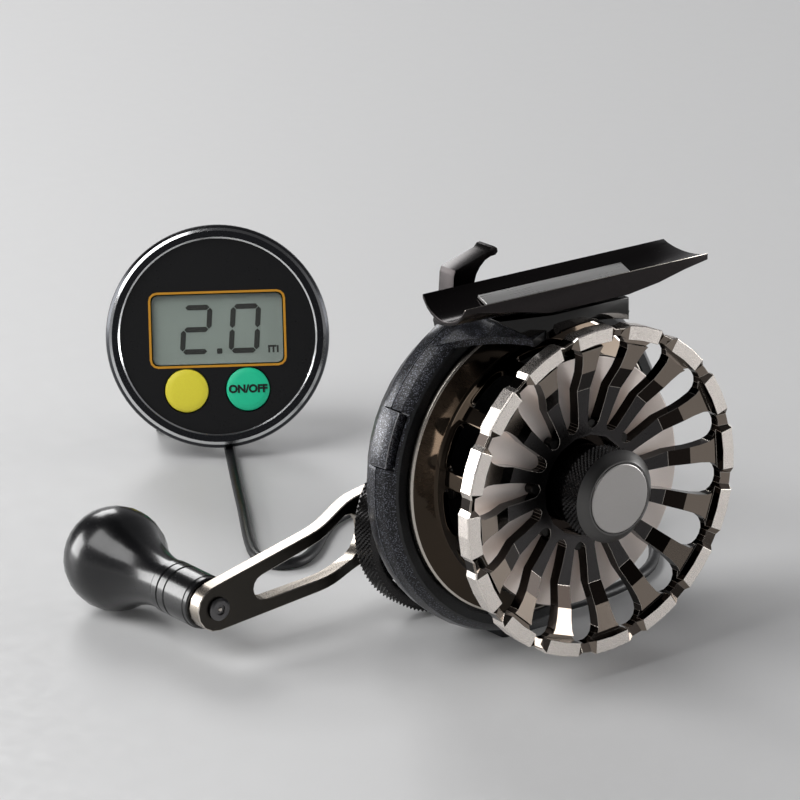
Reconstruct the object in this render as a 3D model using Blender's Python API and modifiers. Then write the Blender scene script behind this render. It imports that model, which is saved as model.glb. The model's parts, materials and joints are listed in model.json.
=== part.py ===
"""Raft-fishing reel with a geared two-knob handle and a round digital display on a cord.

Metres, +Z up. The reel's spool axis runs along +X, out of the spool wheel's open face, and
the rod foot runs along Y. The table that the reel and its display stand on is z = 0.
Places on the reel are given from the spool datum: the point where the spool axis meets the
plane of the wheel's front rim. Everything driving the shape is a named size below.
"""

import math

import bmesh
import bpy
from mathutils import Matrix, Vector

# Clearances shared by all the pieces
FIT_GAP = 0.0003
RUN_GAP = 0.0006
CUT_OVERRUN = 0.0010
EDGE_SOFTEN = 0.0003
MERGE = 0.00002

# How finely round pieces are divided
SEGMENTS_LARGE = 48
SEGMENTS_MEDIUM = 28
SEGMENTS_SMALL = 14

# Where the spool datum stands over the table's origin
REEL_X = 0.0910
REEL_Y = 0.0016

# Spool wheel: the open front flange
WHEEL_RADIUS = 0.0325
RIM_WIDTH = 0.0033
RIM_BAND = 0.0026
DISH_EDGE_DEPTH = 0.0014
DISH_KINK_RADIUS = 0.0196
DISH_KINK_DEPTH = 0.0046
DISH_BEND_RADIUS = 0.0236
DISH_BEND_DEPTH = 0.0027
DISH_HUB_DEPTH = 0.0056
WEB_THICKNESS = 0.0024
WINDOW_COUNT = 16
WINDOW_PHASE_DEG = 15.05
WINDOW_INNER_RADIUS = 0.0112
WINDOW_END_MARGIN = 0.0005
WINDOW_HALF_WIDTH = 0.00315
NOTCH_RADIUS = 0.0022
NOTCH_DEPTH = 0.0007
WINDOW_OUTLINE_SHARES = (
    (0.00, 0.00), (0.03, 0.42), (0.45, 0.74), (0.64, 0.90), (0.80, 1.00), (0.93, 0.80), (1.00, 0.00),
)

# Brake knob in the wheel's centre
BRAKE_KNOB_RADIUS = 0.0091
BRAKE_NECK_RADIUS = 0.0079
BRAKE_GRIP_DEPTH = 0.0022
BRAKE_KNOB_STANDOUT = 0.0044
BRAKE_CAP_RADIUS = 0.0068
BRAKE_CAP_STANDOUT = 0.0002
BRAKE_CAP_DEPTH = 0.0010
BRAKE_CHAMFER = 0.0016
BRAKE_WALL = 0.0016
BRAKE_RECESS_DEPTH = 0.0014

# Spool drum and its rear flange
DRUM_RADIUS = 0.0248
DRUM_WIDTH = 0.0113
DRUM_WALL = 0.0013
FLANGE_RADIUS = 0.0300
FLANGE_RISE = 0.0015
FLANGE_THICKNESS = 0.0012
DRUM_WINDOW_COUNT = 12
DRUM_WINDOW_PHASE_DEG = 7.0
DRUM_WINDOW_ARC_DEG = 22.0
DRUM_WINDOW_MARGIN = 0.0017
DRUM_WINDOW_CORNER = 0.0018
HUB_WALL = 0.0015
MAGNET_RADIUS = 0.0015
MAGNET_DEPTH = 0.0012
MAGNET_SEAT_DEPTH = 0.0020

# Fixed spool shaft and the ball bearings on it
SHAFT_RADIUS = 0.0020
BEARING_RADIUS = 0.0050
BEARING_WIDTH = 0.0025

# Frame: the ring with the plate behind the spool
FRAME_LIP_SETBACK = 0.0007
FRAME_LIP_WIDTH = 0.0022
FRAME_RING_DEPTH = 0.0043
FRAME_BARREL_RADIUS = 0.0347
FRAME_PLATE_THICKNESS = 0.0022
FRAME_CHAMFER = 0.0004

# Bridge over the spool that carries the foot
BRIDGE_CLEARANCE = 0.0003
BRIDGE_THICKNESS = 0.0016
BRIDGE_RIM_GAP = 0.0015
BRIDGE_START_DEG = 73.0
BRIDGE_END_DEG = 113.0
BRIDGE_FLARE_DEG = 16.0
BRIDGE_FLARE_POWER_SHARE = 1.5
BRIDGE_STEPS = 8

# Side cover with the gear chamber and the handle's boss
COVER_BARREL_DEPTH = 0.0028
COVER_EDGE_DEPTH = 0.0010
COVER_WALL = 0.0014
COVER_DEPTH = 0.0114
COVER_BACK_RADIUS = 0.0240
COVER_DOME_RISE = 0.0018
GEAR_BOSS_RADIUS = 0.0165
HANDLE_BOSS_RADIUS = 0.0092
HANDLE_BOSS_LENGTH = 0.0088
COVER_SCREW_RADIUS = 0.0020
COVER_SCREW_CIRCLE = 0.0215
COVER_SCREW_HEAD = 0.0010
COVER_SCREW_DEGS = (20.0, 100.0, 175.0)

# Lock plate let into the band across the seam
TAB_START_DEG = 152.0
TAB_END_DEG = 170.5
TAB_WIDTH = 0.0052
TAB_FORWARD = 0.0032
TAB_THICKNESS = 0.0008
TAB_STEPS = 5

# Gear pair between the handle and the spool
MAIN_TEETH = 45
PINION_TEETH = 14
HUB_SIDE_OFFSET = -0.00165
HUB_DROP = 0.01825
ADDENDUM_SHARE = 0.80
DEDENDUM_SHARE = 1.15
TOOTH_TIP_SHARE = 0.22
TOOTH_ROOT_SHARE = 0.62
MAIN_GEAR_WIDTH = 0.0030
MAIN_GEAR_SETBACK = 0.0031
PINION_OVERHANG = 0.0006
PINION_SLEEVE_RADIUS = 0.0033

# Clutch yoke that draws the pinion off the spool
YOKE_RADIUS = 0.0060
YOKE_THICKNESS = 0.0012
YOKE_EAR_REACH = 0.0110
YOKE_EAR_RISE = 0.0040
YOKE_EAR_RADIUS = 0.0024
YOKE_POST_RADIUS = 0.0010

# Release lever behind the foot
LEVER_WIDTH = 0.0045
LEVER_SETBACK = 0.0003
LEVER_PIVOT_Y = -0.0140
LEVER_PIVOT_Z = 0.0300
LEVER_EYE_RADIUS = 0.0026
LEVER_PIN_RADIUS = 0.0010
LEVER_HEIGHT = 0.0160
LEVER_REACH = 0.0100
LEVER_SLOT_MARGIN = 0.0022
LEVER_SWING_ROOM = 0.0034
LEVER_OUTLINE_SHARES = (
    (-0.24, 0.08), (-0.12, 0.34), (-0.09, 0.58), (-0.05, 0.65), (0.73, 0.79), (0.81, 0.84), (0.88, 0.845),
    (0.95, 0.815), (0.965, 0.77), (0.91, 0.735), (0.80, 0.73), (0.67, 0.70), (0.54, 0.63), (0.45, 0.55),
    (0.40, 0.45), (0.24, 0.08),
)

# Foot block between the bridge and the foot
BLOCK_NEAR_Y = -0.0090
BLOCK_FAR_Y = 0.0093
BLOCK_BACK_X = -0.0178
BLOCK_FRONT_X = -0.0041
BLOCK_WEDGE_Y = 0.0102
BLOCK_WEDGE_X = 0.0034
BLOCK_LIP_DROP = 0.0020

# Rod foot: a trough that the rod lies in
FOOT_LENGTH = 0.0584
FOOT_WIDTH = 0.0131
FOOT_CENTRE_X = -0.01105
FOOT_TOP_Z = 0.04075
FOOT_TROUGH_DEPTH = 0.0038
FOOT_FAR_DEPTH = 0.0011
FOOT_EDGE = 0.0008
FOOT_MIDDLE_DEPTH = 0.0046
FOOT_FAR_THICKNESS = 0.0020
FOOT_ARC_STEPS = 10
FOOT_STATION_SHARES = (
    (0.00, 1.00, 1.00, 0.00), (0.18, 1.00, 1.00, 0.45), (0.34, 1.00, 1.00, 1.00), (0.66, 1.00, 1.00, 1.00),
    (0.79, 1.00, 0.90, 0.80), (0.90, 0.55, 0.45, 0.60), (1.00, 0.00, 0.00, 0.40),
)
STRIP_WIDTH = 0.0030
STRIP_LENGTH = 0.0345
STRIP_THICKNESS = 0.0006
STRIP_OFFSET_Y = -0.0010
STRIP_TILT_DEG = 22.2
STRIP_LIFT = 0.0004
FOOT_SCREW_RADIUS = 0.0012
FOOT_SCREW_HEAD_RADIUS = 0.0020
FOOT_SCREW_HEAD = 0.0012
FOOT_SCREW_SPACING = 0.0100

# Outlet block under the frame, with the cord's gland
POD_LENGTH = 0.0120
POD_WIDTH = 0.0072
POD_SETBACK = 0.0025
POD_OFFSET = 0.0040
POD_CORNER = 0.0010
GLAND_RADIUS = 0.0021
GLAND_LENGTH = 0.0030
BOARD_SIZE = 0.0080
BOARD_THICKNESS = 0.0010
BOARD_RADIUS = 0.0240
BOARD_DEG = 40.0

# Handle shaft stack, from the frame's plate backwards
HANDLE_SHAFT_RADIUS = 0.0030
GEAR_SEAT_RADIUS = 0.0042
WASHER_RADIUS = 0.0112
WASHER_THICKNESS = 0.0007
PRESSURE_PLATE_THICKNESS = 0.0009
HANDLE_BEARING_RADIUS = 0.0062
HANDLE_BEARING_WIDTH = 0.0030
DRAG_WHEEL_RADIUS = 0.0193
DRAG_WHEEL_WIDTH = 0.0054
DRAG_WHEEL_SETBACK = 0.0008
DRAG_RIM = 0.0026
DRAG_WEB = 0.0020
DRAG_HUB_RADIUS = 0.0066
DRAG_WINDOW_COUNT = 8
DRAG_WINDOW_ARC_DEG = 30.0
DRAG_WINDOW_PHASE_DEG = 10.0
COLLAR_RADIUS = 0.0064
COLLAR_LENGTH = 0.0052
NUT_RADIUS = 0.0056
NUT_HEIGHT = 0.0034

# Two-ended handle arm
ARM_RADIUS = 0.0515
ARM_TILT_DEG = 9.7
ARM_THICKNESS = 0.0032
ARM_END_RADIUS = 0.0047
ARM_HUB_RADIUS = 0.0088
ARM_NECK_REACH = 0.0150
ARM_NECK_HALF_WIDTH = 0.0072
ARM_SLOT_START = 0.0125
ARM_SLOT_END = 0.0428
ARM_SLOT_WIDE = 0.0048
ARM_SLOT_NARROW = 0.0026
ARM_CRANK = 0.0048
ARM_BEND_START = 0.0115
ARM_BEND_END = 0.0280
ARM_BEND_STEPS = 8
ARM_ROUND_STEPS = 7

# Handle knobs
KNOB_BALL_RADIUS = 0.01065
KNOB_BALL_REACH = 0.0327
KNOB_END_FLAT = 0.0040
KNOB_NECK_RADIUS = 0.0051
KNOB_NECK_REACH = 0.0136
FERRULE_RADIUS = 0.0054
FERRULE_LENGTH = 0.0125
FERRULE_GROOVE = 0.0004
POST_RADIUS = 0.0017
POST_HEAD_RADIUS = 0.0023
POST_HEAD = 0.0007
POST_DEPTH = 0.0270

# Display: round case on its own mount, facing the viewer
DISPLAY_RADIUS = 0.0248
DISPLAY_RAISE = 0.0031
DISPLAY_LEAN_DEG = 17.15
DISPLAY_TURN_DEG = -33.81
DISPLAY_BACK_X = 0.1594
DISPLAY_SIDE_Y = 0.0199
BEZEL_DEPTH = 0.0050
BEZEL_TAPER = 0.0015
BEZEL_WALL = 0.0016
BEZEL_LIP_RADIUS = 0.0217
BEZEL_LIP_DEPTH = 0.0010
CASE_RADIUS = 0.0205
CASE_DEPTH = 0.0130
CASE_WALL = 0.0014
FACE_THICKNESS = 0.0012
LCD_WIDTH = 0.0289
LCD_HEIGHT = 0.0154
LCD_RISE = 0.0016
LCD_THICKNESS = 0.0012
LENS_THICKNESS = 0.0006
BORDER_BAND = 0.0005
BORDER_PROUD = 0.0002
LCD_CORNER = 0.0014
BUTTON_RADIUS = 0.0048
BUTTON_DROP = 0.0119
BUTTON_SET_SIDE = -0.0072
BUTTON_POWER_SIDE = 0.0064
BUTTON_PROUD = 0.0007
BUTTON_LENGTH = 0.0026
PANEL_BOARD_RADIUS = 0.0180
PANEL_BOARD_THICKNESS = 0.0010
CELL_RADIUS = 0.0100
CELL_THICKNESS = 0.0030
HATCH_RADIUS = 0.0085
HATCH_THICKNESS = 0.0010
HATCH_RISE = 0.0050

# Rod clip low on the display's back
CLIP_OUTER_RADIUS = 0.0080
CLIP_WALL = 0.0018
CLIP_LENGTH = 0.0120
CLIP_SIDE = -0.0085
CLIP_GAP_DEG = 100.0
CLIP_STEPS = 14
CLIP_STEM = 0.0060

# Cord from the display's back to the reel
CORD_RADIUS = 0.0012
RELIEF_RADIUS = 0.0022
RELIEF_TIP_RADIUS = 0.0017
RELIEF_LENGTH = 0.0045
RELIEF_SIDE = 0.0018
RELIEF_DROP = 0.0060
CORD_POINTS = 72

# Derived places along the spool axis, from the spool datum backwards
WINDOW_OUTER_RADIUS = WHEEL_RADIUS - RIM_BAND - WINDOW_END_MARGIN
WHEEL_BACK_X = -(DISH_HUB_DEPTH + WEB_THICKNESS)
DRUM_FRONT_X = WHEEL_BACK_X - FIT_GAP
DRUM_BACK_X = DRUM_FRONT_X - DRUM_WIDTH
FLANGE_EDGE_X = DRUM_BACK_X - FLANGE_RISE
FLANGE_BACK_X = FLANGE_EDGE_X - FLANGE_THICKNESS
FRAME_FRONT_X = FLANGE_EDGE_X - FRAME_LIP_SETBACK
FRAME_BACK_X = FRAME_FRONT_X - FRAME_RING_DEPTH
PLATE_FRONT_X = FLANGE_BACK_X - RUN_GAP
PLATE_BACK_X = PLATE_FRONT_X - FRAME_PLATE_THICKNESS
FRAME_BORE = FLANGE_RADIUS + RUN_GAP
COVER_FRONT_X = FRAME_BACK_X - FIT_GAP
COVER_BACK_X = COVER_FRONT_X - COVER_DEPTH
COVER_INSIDE_X = COVER_BACK_X + COVER_WALL
BRIDGE_FRONT_X = -RIM_WIDTH - BRIDGE_RIM_GAP
BRIDGE_INNER = WHEEL_RADIUS + BRIDGE_CLEARANCE
BRIDGE_OUTER = BRIDGE_INNER + BRIDGE_THICKNESS
HUB_BORE = BEARING_RADIUS + FIT_GAP
HUB_OUTER = HUB_BORE + HUB_WALL

# Derived places of the gears and the handle
GEAR_CENTRES = math.hypot(HUB_SIDE_OFFSET, HUB_DROP)
GEAR_MODULE = (GEAR_CENTRES + GEAR_CENTRES) / (MAIN_TEETH + PINION_TEETH)
HUB_DIRECTION = math.atan2(-HUB_DROP, HUB_SIDE_OFFSET)
GEAR_FRONT_X = PLATE_BACK_X - MAIN_GEAR_SETBACK
GEAR_BACK_X = GEAR_FRONT_X - MAIN_GEAR_WIDTH
BOSS_BACK_X = COVER_BACK_X - HANDLE_BOSS_LENGTH
DRAG_FRONT_X = BOSS_BACK_X - DRAG_WHEEL_SETBACK
DRAG_BACK_X = DRAG_FRONT_X - DRAG_WHEEL_WIDTH
COLLAR_FRONT_X = DRAG_BACK_X - RUN_GAP
COLLAR_BACK_X = COLLAR_FRONT_X - COLLAR_LENGTH
ARM_FRONT_X = COLLAR_BACK_X - FIT_GAP
ARM_BACK_X = ARM_FRONT_X - ARM_THICKNESS
ARM_END_FRONT_X = ARM_FRONT_X + ARM_CRANK
ARM_END_BACK_X = ARM_END_FRONT_X - ARM_THICKNESS
NUT_FRONT_X = ARM_BACK_X - FIT_GAP
SHAFT_END_X = NUT_FRONT_X - NUT_HEIGHT + RUN_GAP + FIT_GAP

# The reel rests on the drag wheel and a knob: the lower of the two sets the spool's height
KNOB_FALL = ARM_RADIUS * math.sin(math.radians(ARM_TILT_DEG)) + KNOB_BALL_RADIUS
SPOOL_Z = HUB_DROP + max(DRAG_WHEEL_RADIUS, KNOB_FALL) + FIT_GAP


def new_collection(name):
    """Return a new collection linked to the scene."""
    collection = bpy.data.collections.new(name)
    bpy.context.scene.collection.children.link(collection)
    return collection


for leftover in list(bpy.data.objects):
    bpy.data.objects.remove(leftover, do_unlink=True)

PARTS = new_collection("raft_reel")
CUTTERS = new_collection("raft_reel_cutters")

# Local Z becomes the spool axis, local X the foot's direction and local Y stays upright
AXIAL = Matrix(((0, 0, 1), (1, 0, 0), (0, 1, 0)))


def material(name, colour, roughness, metallic):
    """Return a Principled material."""
    made = bpy.data.materials.new(name)
    made.use_nodes = True
    shader = made.node_tree.nodes["Principled BSDF"]
    shader.inputs["Base Color"].default_value = (*colour, 1)
    shader.inputs["Roughness"].default_value = roughness
    shader.inputs["Metallic"].default_value = metallic
    return made


def frame_at(x, y, z, basis=AXIAL):
    """Return the world matrix of a place given from the spool datum."""
    place = Matrix.Translation(Vector((REEL_X + x, REEL_Y + y, SPOOL_Z + z)))
    return place @ basis.to_4x4()


SPOOL_FRAME = frame_at(0, 0, 0)
HUB_FRAME = frame_at(0, HUB_SIDE_OFFSET, -HUB_DROP)

ARM_ANGLE = math.pi + math.radians(ARM_TILT_DEG)
NEAR_KNOB = Vector((HUB_SIDE_OFFSET + ARM_RADIUS * math.cos(ARM_ANGLE),
                    ARM_RADIUS * math.sin(ARM_ANGLE) - HUB_DROP))
FAR_KNOB = Vector((HUB_SIDE_OFFSET - ARM_RADIUS * math.cos(ARM_ANGLE),
                   -ARM_RADIUS * math.sin(ARM_ANGLE) - HUB_DROP))


def place(obj, matrix, finish, cutter=False):
    """Link an object, set its world place and give it its material."""
    (CUTTERS if cutter else PARTS).objects.link(obj)
    obj.matrix_world = matrix
    if cutter:
        obj.hide_render = True
        obj.display_type = "WIRE"
    elif finish:
        obj.data.materials.append(finish)
    return obj


def smooth(obj, degrees=35):
    """Shade a round piece smooth with crisp edges."""
    obj.data.shade_smooth()
    obj.data.set_sharp_from_angle(angle=math.radians(degrees))


def counter_clockwise(points):
    """Return a closed outline's points in counter-clockwise order."""
    area = sum(a[0] * b[1] - b[0] * a[1] for a, b in zip(points, points[1:] + points[:1]))
    return points if area > 0 else points[::-1]


def turned(name, profile, matrix, finish=None, segments=SEGMENTS_MEDIUM, cutter=False):
    """Turn a closed profile of (place along the axis, radius) pairs into a solid."""
    on_axis = [index for index, point in enumerate(profile) if point[1] == 0]
    outline = counter_clockwise([(radius, along) for along, radius in profile])[::-1]
    mesh = bpy.data.meshes.new(name)
    vertices = [(radius, 0, along) for radius, along in outline]
    count = len(vertices)
    edges = [(index, (index + 1) % count) for index in range(count)]
    if on_axis:
        edges = [edge for edge in edges if vertices[edge[0]][0] or vertices[edge[1]][0]]
    mesh.from_pydata(vertices, edges, [])
    obj = place(bpy.data.objects.new(name, mesh), matrix, finish, cutter)
    screw = obj.modifiers.new("Turn", "SCREW")
    screw.axis = "Z"
    screw.angle = math.tau
    screw.steps = segments
    screw.render_steps = segments
    screw.use_merge_vertices = True
    screw.merge_threshold = MERGE
    screw.use_smooth_shade = True
    return obj


def outline_solid(name, outlines, low, high, matrix, finish=None, cutter=False):
    """Extrude closed flat outlines between two heights along the local Z axis."""
    curve = bpy.data.curves.new(name, "CURVE")
    curve.dimensions = "2D"
    curve.fill_mode = "BOTH"
    curve.extrude = (high - low) / 2
    for outline in outlines:
        spline = curve.splines.new("POLY")
        spline.points.add(len(outline) - 1)
        for point, (x, y) in zip(spline.points, outline):
            point.co = (x, y, 0, 1)
        spline.use_cyclic_u = True
    flat = bpy.data.objects.new(name + "_outline", curve)
    PARTS.objects.link(flat)
    flat.matrix_world = matrix @ Matrix.Translation((0, 0, (high + low) / 2))
    bpy.context.view_layer.update()
    evaluated = flat.evaluated_get(bpy.context.evaluated_depsgraph_get())
    mesh = bpy.data.meshes.new_from_object(evaluated)
    mesh.name = name
    welded = bmesh.new()
    welded.from_mesh(mesh)
    bmesh.ops.remove_doubles(welded, verts=welded.verts, dist=MERGE)
    bmesh.ops.translate(welded, verts=welded.verts, vec=(0, 0, (high + low) / 2))
    welded.to_mesh(mesh)
    welded.free()
    mesh.materials.clear()
    obj = place(bpy.data.objects.new(name, mesh), matrix, finish, cutter)
    bpy.data.objects.remove(flat, do_unlink=True)
    return obj


def box(name, low, high, matrix, finish=None, cutter=False):
    """Make a box between two corners in a local frame."""
    solid = bmesh.new()
    bmesh.ops.create_cube(solid, size=1)
    size = [top - bottom for bottom, top in zip(low, high)]
    middle = [(top + bottom) / 2 for bottom, top in zip(low, high)]
    bmesh.ops.scale(solid, verts=solid.verts, vec=size)
    bmesh.ops.translate(solid, verts=solid.verts, vec=middle)
    mesh = bpy.data.meshes.new(name)
    solid.to_mesh(mesh)
    solid.free()
    return place(bpy.data.objects.new(name, mesh), matrix, finish, cutter)


def boolean(target, tool, operation):
    """Cut, join or intersect an object with a tool."""
    step = target.modifiers.new(operation.title(), "BOOLEAN")
    step.operation = operation
    step.object = tool


def cut(target, tool):
    """Take a cutter out of an object."""
    boolean(target, tool, "DIFFERENCE")


def join(target, tool):
    """Join a tool shape onto an object."""
    boolean(target, tool, "UNION")


def soften(obj, width=EDGE_SOFTEN, segments=1, degrees=40):
    """Bevel an object's sharp edges."""
    bevel = obj.modifiers.new("Soften", "BEVEL")
    bevel.width = width
    bevel.segments = segments
    bevel.limit_method = "ANGLE"
    bevel.angle_limit = math.radians(degrees)


def arc(centre, radius, start, end, steps):
    """Return the points of an arc, both ends included."""
    turn = [start + (end - start) * step / steps for step in range(steps + 1)]
    return [(centre[0] + radius * math.cos(angle), centre[1] + radius * math.sin(angle)) for angle in turn]


def rounded_rectangle(centre, width, height, corner, steps=3):
    """Return the outline of a rectangle with round corners."""
    points = []
    for quarter, (side, rise) in enumerate(((1, 1), (-1, 1), (-1, -1), (1, -1))):
        middle = (centre[0] + side * (width / 2 - corner), centre[1] + rise * (height / 2 - corner))
        points += arc(middle, corner, quarter * math.pi / 2, (quarter + 1) * math.pi / 2, steps)
    return points


def rotated(points, angle):
    """Return points turned about the origin."""
    cosine, sine = math.cos(angle), math.sin(angle)
    return [(x * cosine - y * sine, x * sine + y * cosine) for x, y in points]


def sector(inner, outer, middle, span, steps=6):
    """Return the outline of a ring's sector."""
    low, high = middle - span / 2, middle + span / 2
    return arc((0, 0), outer, low, high, steps) + arc((0, 0), inner, high, low, steps)


# Finishes
GRANITE = material("granite_black_paint", (0.030, 0.032, 0.036), 0.42, 0.35)
BLACK_ANODISED = material("black_anodised", (0.012, 0.012, 0.013), 0.30, 0.60)
GUNMETAL = material("polished_gunmetal", (0.42, 0.38, 0.34), 0.14, 1.0)
BRONZE = material("satin_bronze_gunmetal", (0.16, 0.145, 0.13), 0.34, 0.9)
SATIN_GREY = material("satin_grey_aluminium", (0.42, 0.42, 0.43), 0.38, 1.0)
GLOSS_BLACK = material("gloss_black_plastic", (0.008, 0.008, 0.008), 0.14, 0.0)
MATT_BLACK = material("matt_black_plastic", (0.014, 0.014, 0.015), 0.50, 0.0)
STEEL = material("ground_steel", (0.46, 0.47, 0.48), 0.28, 1.0)
BRASS = material("gear_brass", (0.60, 0.44, 0.18), 0.32, 1.0)
CARBON_FELT = material("drag_carbon", (0.030, 0.030, 0.032), 0.75, 0.0)
WHITE_METAL = material("bright_strip", (0.78, 0.78, 0.77), 0.30, 0.6)
BEZEL_STEEL = material("dark_steel_bezel", (0.20, 0.205, 0.215), 0.24, 1.0)
LCD_GREY = material("lcd_grey_green", (0.34, 0.38, 0.34), 0.30, 0.0)
AMBER = material("amber_line", (0.78, 0.42, 0.06), 0.45, 0.0)
YELLOW = material("yellow_rubber", (0.85, 0.72, 0.02), 0.45, 0.0)
GREEN = material("green_rubber", (0.01, 0.52, 0.32), 0.45, 0.0)
CLEAR = material("clear_lens", (0.80, 0.82, 0.80), 0.05, 0.0)
CIRCUIT = material("circuit_green", (0.02, 0.13, 0.06), 0.50, 0.0)
RUBBER = material("cord_rubber", (0.016, 0.018, 0.022), 0.46, 0.0)


def build_spool_wheel():
    """The dished front flange with its bottle-shaped windows and notched rim."""
    recess_x = -(DISH_HUB_DEPTH + BRAKE_RECESS_DEPTH)
    recess_radius = BRAKE_KNOB_RADIUS + RUN_GAP
    inner_rim = WHEEL_RADIUS - RIM_BAND
    wheel = turned("spool_wheel", [
        (WHEEL_BACK_X, HUB_BORE),
        (recess_x, HUB_BORE),
        (recess_x, recess_radius),
        (-DISH_HUB_DEPTH, recess_radius),
        (-DISH_KINK_DEPTH, DISH_KINK_RADIUS),
        (-DISH_BEND_DEPTH, DISH_BEND_RADIUS),
        (-DISH_EDGE_DEPTH, inner_rim),
        (0, inner_rim),
        (0, WHEEL_RADIUS - EDGE_SOFTEN),
        (-EDGE_SOFTEN, WHEEL_RADIUS),
        (-RIM_WIDTH, WHEEL_RADIUS),
        (-RIM_WIDTH, inner_rim),
        (-DISH_BEND_DEPTH - WEB_THICKNESS, DISH_BEND_RADIUS),
        (-DISH_KINK_DEPTH - WEB_THICKNESS, DISH_KINK_RADIUS),
        (WHEEL_BACK_X, recess_radius),
    ], SPOOL_FRAME, GUNMETAL, SEGMENTS_LARGE)
    length = WINDOW_OUTER_RADIUS - WINDOW_INNER_RADIUS
    side = [(WINDOW_INNER_RADIUS + length * along, WINDOW_HALF_WIDTH * wide)
            for along, wide in WINDOW_OUTLINE_SHARES]
    bottle = [(x, -y) for x, y in side] + side[-2:0:-1]
    turns = [math.radians(WINDOW_PHASE_DEG) + math.tau * index / WINDOW_COUNT
             for index in range(WINDOW_COUNT)]
    windows = outline_solid("spool_wheel_windows", [rotated(bottle, turn) for turn in turns],
                            WHEEL_BACK_X - CUT_OVERRUN, CUT_OVERRUN, SPOOL_FRAME, cutter=True)
    cut(wheel, windows)
    centre = WHEEL_RADIUS + NOTCH_RADIUS - NOTCH_DEPTH
    scoops = [arc((centre * math.cos(turn), centre * math.sin(turn)), NOTCH_RADIUS, 0, math.tau, 8)[:-1]
              for turn in turns]
    notches = outline_solid("spool_wheel_notches", scoops, -RIM_WIDTH - CUT_OVERRUN, CUT_OVERRUN,
                            SPOOL_FRAME, cutter=True)
    cut(wheel, notches)
    return wheel


def build_spool_drum():
    """The windowed drum with its front disc, hub tube and rear flange in one piece."""
    disc_back = DRUM_FRONT_X - DRUM_WALL
    inside = DRUM_RADIUS - DRUM_WALL
    drum = turned("spool_drum", [
        (DRUM_FRONT_X, HUB_BORE),
        (DRUM_FRONT_X, DRUM_RADIUS),
        (DRUM_BACK_X, DRUM_RADIUS),
        (FLANGE_EDGE_X, FLANGE_RADIUS),
        (FLANGE_BACK_X, FLANGE_RADIUS),
        (DRUM_BACK_X - FLANGE_THICKNESS, inside),
        (disc_back, inside),
        (disc_back, HUB_OUTER),
        (DRUM_BACK_X - FLANGE_THICKNESS, HUB_OUTER),
        (DRUM_BACK_X - FLANGE_THICKNESS, HUB_BORE),
    ], SPOOL_FRAME, GUNMETAL, SEGMENTS_LARGE)
    low = DRUM_BACK_X + DRUM_WINDOW_MARGIN
    high = disc_back - EDGE_SOFTEN
    chord = math.sin(math.radians(DRUM_WINDOW_ARC_DEG / 2)) * (DRUM_RADIUS + DRUM_RADIUS)
    hole = rounded_rectangle((0, 0), chord, high - low, DRUM_WINDOW_CORNER)
    pieces = bmesh.new()
    pattern = outline_solid("drum_window_pattern", [hole], inside - CUT_OVERRUN, DRUM_RADIUS + CUT_OVERRUN,
                            SPOOL_FRAME, cutter=True)
    for index in range(DRUM_WINDOW_COUNT):
        turn = math.radians(DRUM_WINDOW_PHASE_DEG) + math.tau * index / DRUM_WINDOW_COUNT
        radial = Vector((math.cos(turn), math.sin(turn), 0))
        along = Vector((-math.sin(turn), math.cos(turn), 0))
        basis = Matrix((along, Vector((0, 0, 1)), radial)).transposed().to_4x4()
        if basis.determinant() < 0:
            basis = Matrix((-along, Vector((0, 0, 1)), radial)).transposed().to_4x4()
        copy = pattern.data.copy()
        copy.transform(Matrix.Translation((0, 0, (high + low) / 2)) @ basis)
        pieces.from_mesh(copy)
        bpy.data.meshes.remove(copy)
    mesh = bpy.data.meshes.new("drum_windows")
    pieces.to_mesh(mesh)
    pieces.free()
    bpy.data.objects.remove(pattern, do_unlink=True)
    windows = place(bpy.data.objects.new("drum_windows", mesh), SPOOL_FRAME, None, cutter=True)
    cut(drum, windows)
    seat = DRUM_BACK_X - FLANGE_THICKNESS
    for name, turn in (("magnet_near", math.pi), ("magnet_far", 0)):
        radius = inside - MAGNET_RADIUS - FIT_GAP
        y, z = radius * math.cos(turn), radius * math.sin(turn)
        turned(name, [(seat + MAGNET_SEAT_DEPTH - MAGNET_DEPTH, 0),
                      (seat + MAGNET_SEAT_DEPTH - MAGNET_DEPTH, MAGNET_RADIUS),
                      (seat + MAGNET_SEAT_DEPTH, MAGNET_RADIUS), (seat + MAGNET_SEAT_DEPTH, 0)],
               frame_at(0, y, z), STEEL, SEGMENTS_SMALL)
    return drum


def ring(name, front, back, inner, outer, matrix, finish, segments=SEGMENTS_SMALL):
    """Make a plain ring with softened outer edges."""
    return turned(name, [
        (front, inner), (front, outer - EDGE_SOFTEN), (front - EDGE_SOFTEN, outer),
        (back + EDGE_SOFTEN, outer), (back, outer - EDGE_SOFTEN), (back, inner),
    ], matrix, finish, segments)


def build_shaft():
    """The fixed spool shaft, its two ball bearings and the spool's drive pin."""
    shaft_back = COVER_INSIDE_X + FIT_GAP
    shaft_front = BRAKE_KNOB_STANDOUT - BRAKE_CAP_DEPTH - BRAKE_WALL - FIT_GAP
    turned("spool_shaft", [
        (shaft_back, 0), (shaft_back, SHAFT_RADIUS), (shaft_front - EDGE_SOFTEN, SHAFT_RADIUS),
        (shaft_front, SHAFT_RADIUS - EDGE_SOFTEN), (shaft_front, 0),
    ], SPOOL_FRAME, STEEL, SEGMENTS_SMALL)
    front = DRUM_FRONT_X - EDGE_SOFTEN
    ring("bearing_front", front, front - BEARING_WIDTH, SHAFT_RADIUS + FIT_GAP, BEARING_RADIUS, SPOOL_FRAME,
         STEEL)
    back = DRUM_BACK_X + EDGE_SOFTEN
    ring("bearing_rear", back + BEARING_WIDTH, back, SHAFT_RADIUS + FIT_GAP, BEARING_RADIUS, SPOOL_FRAME,
         STEEL)


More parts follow.
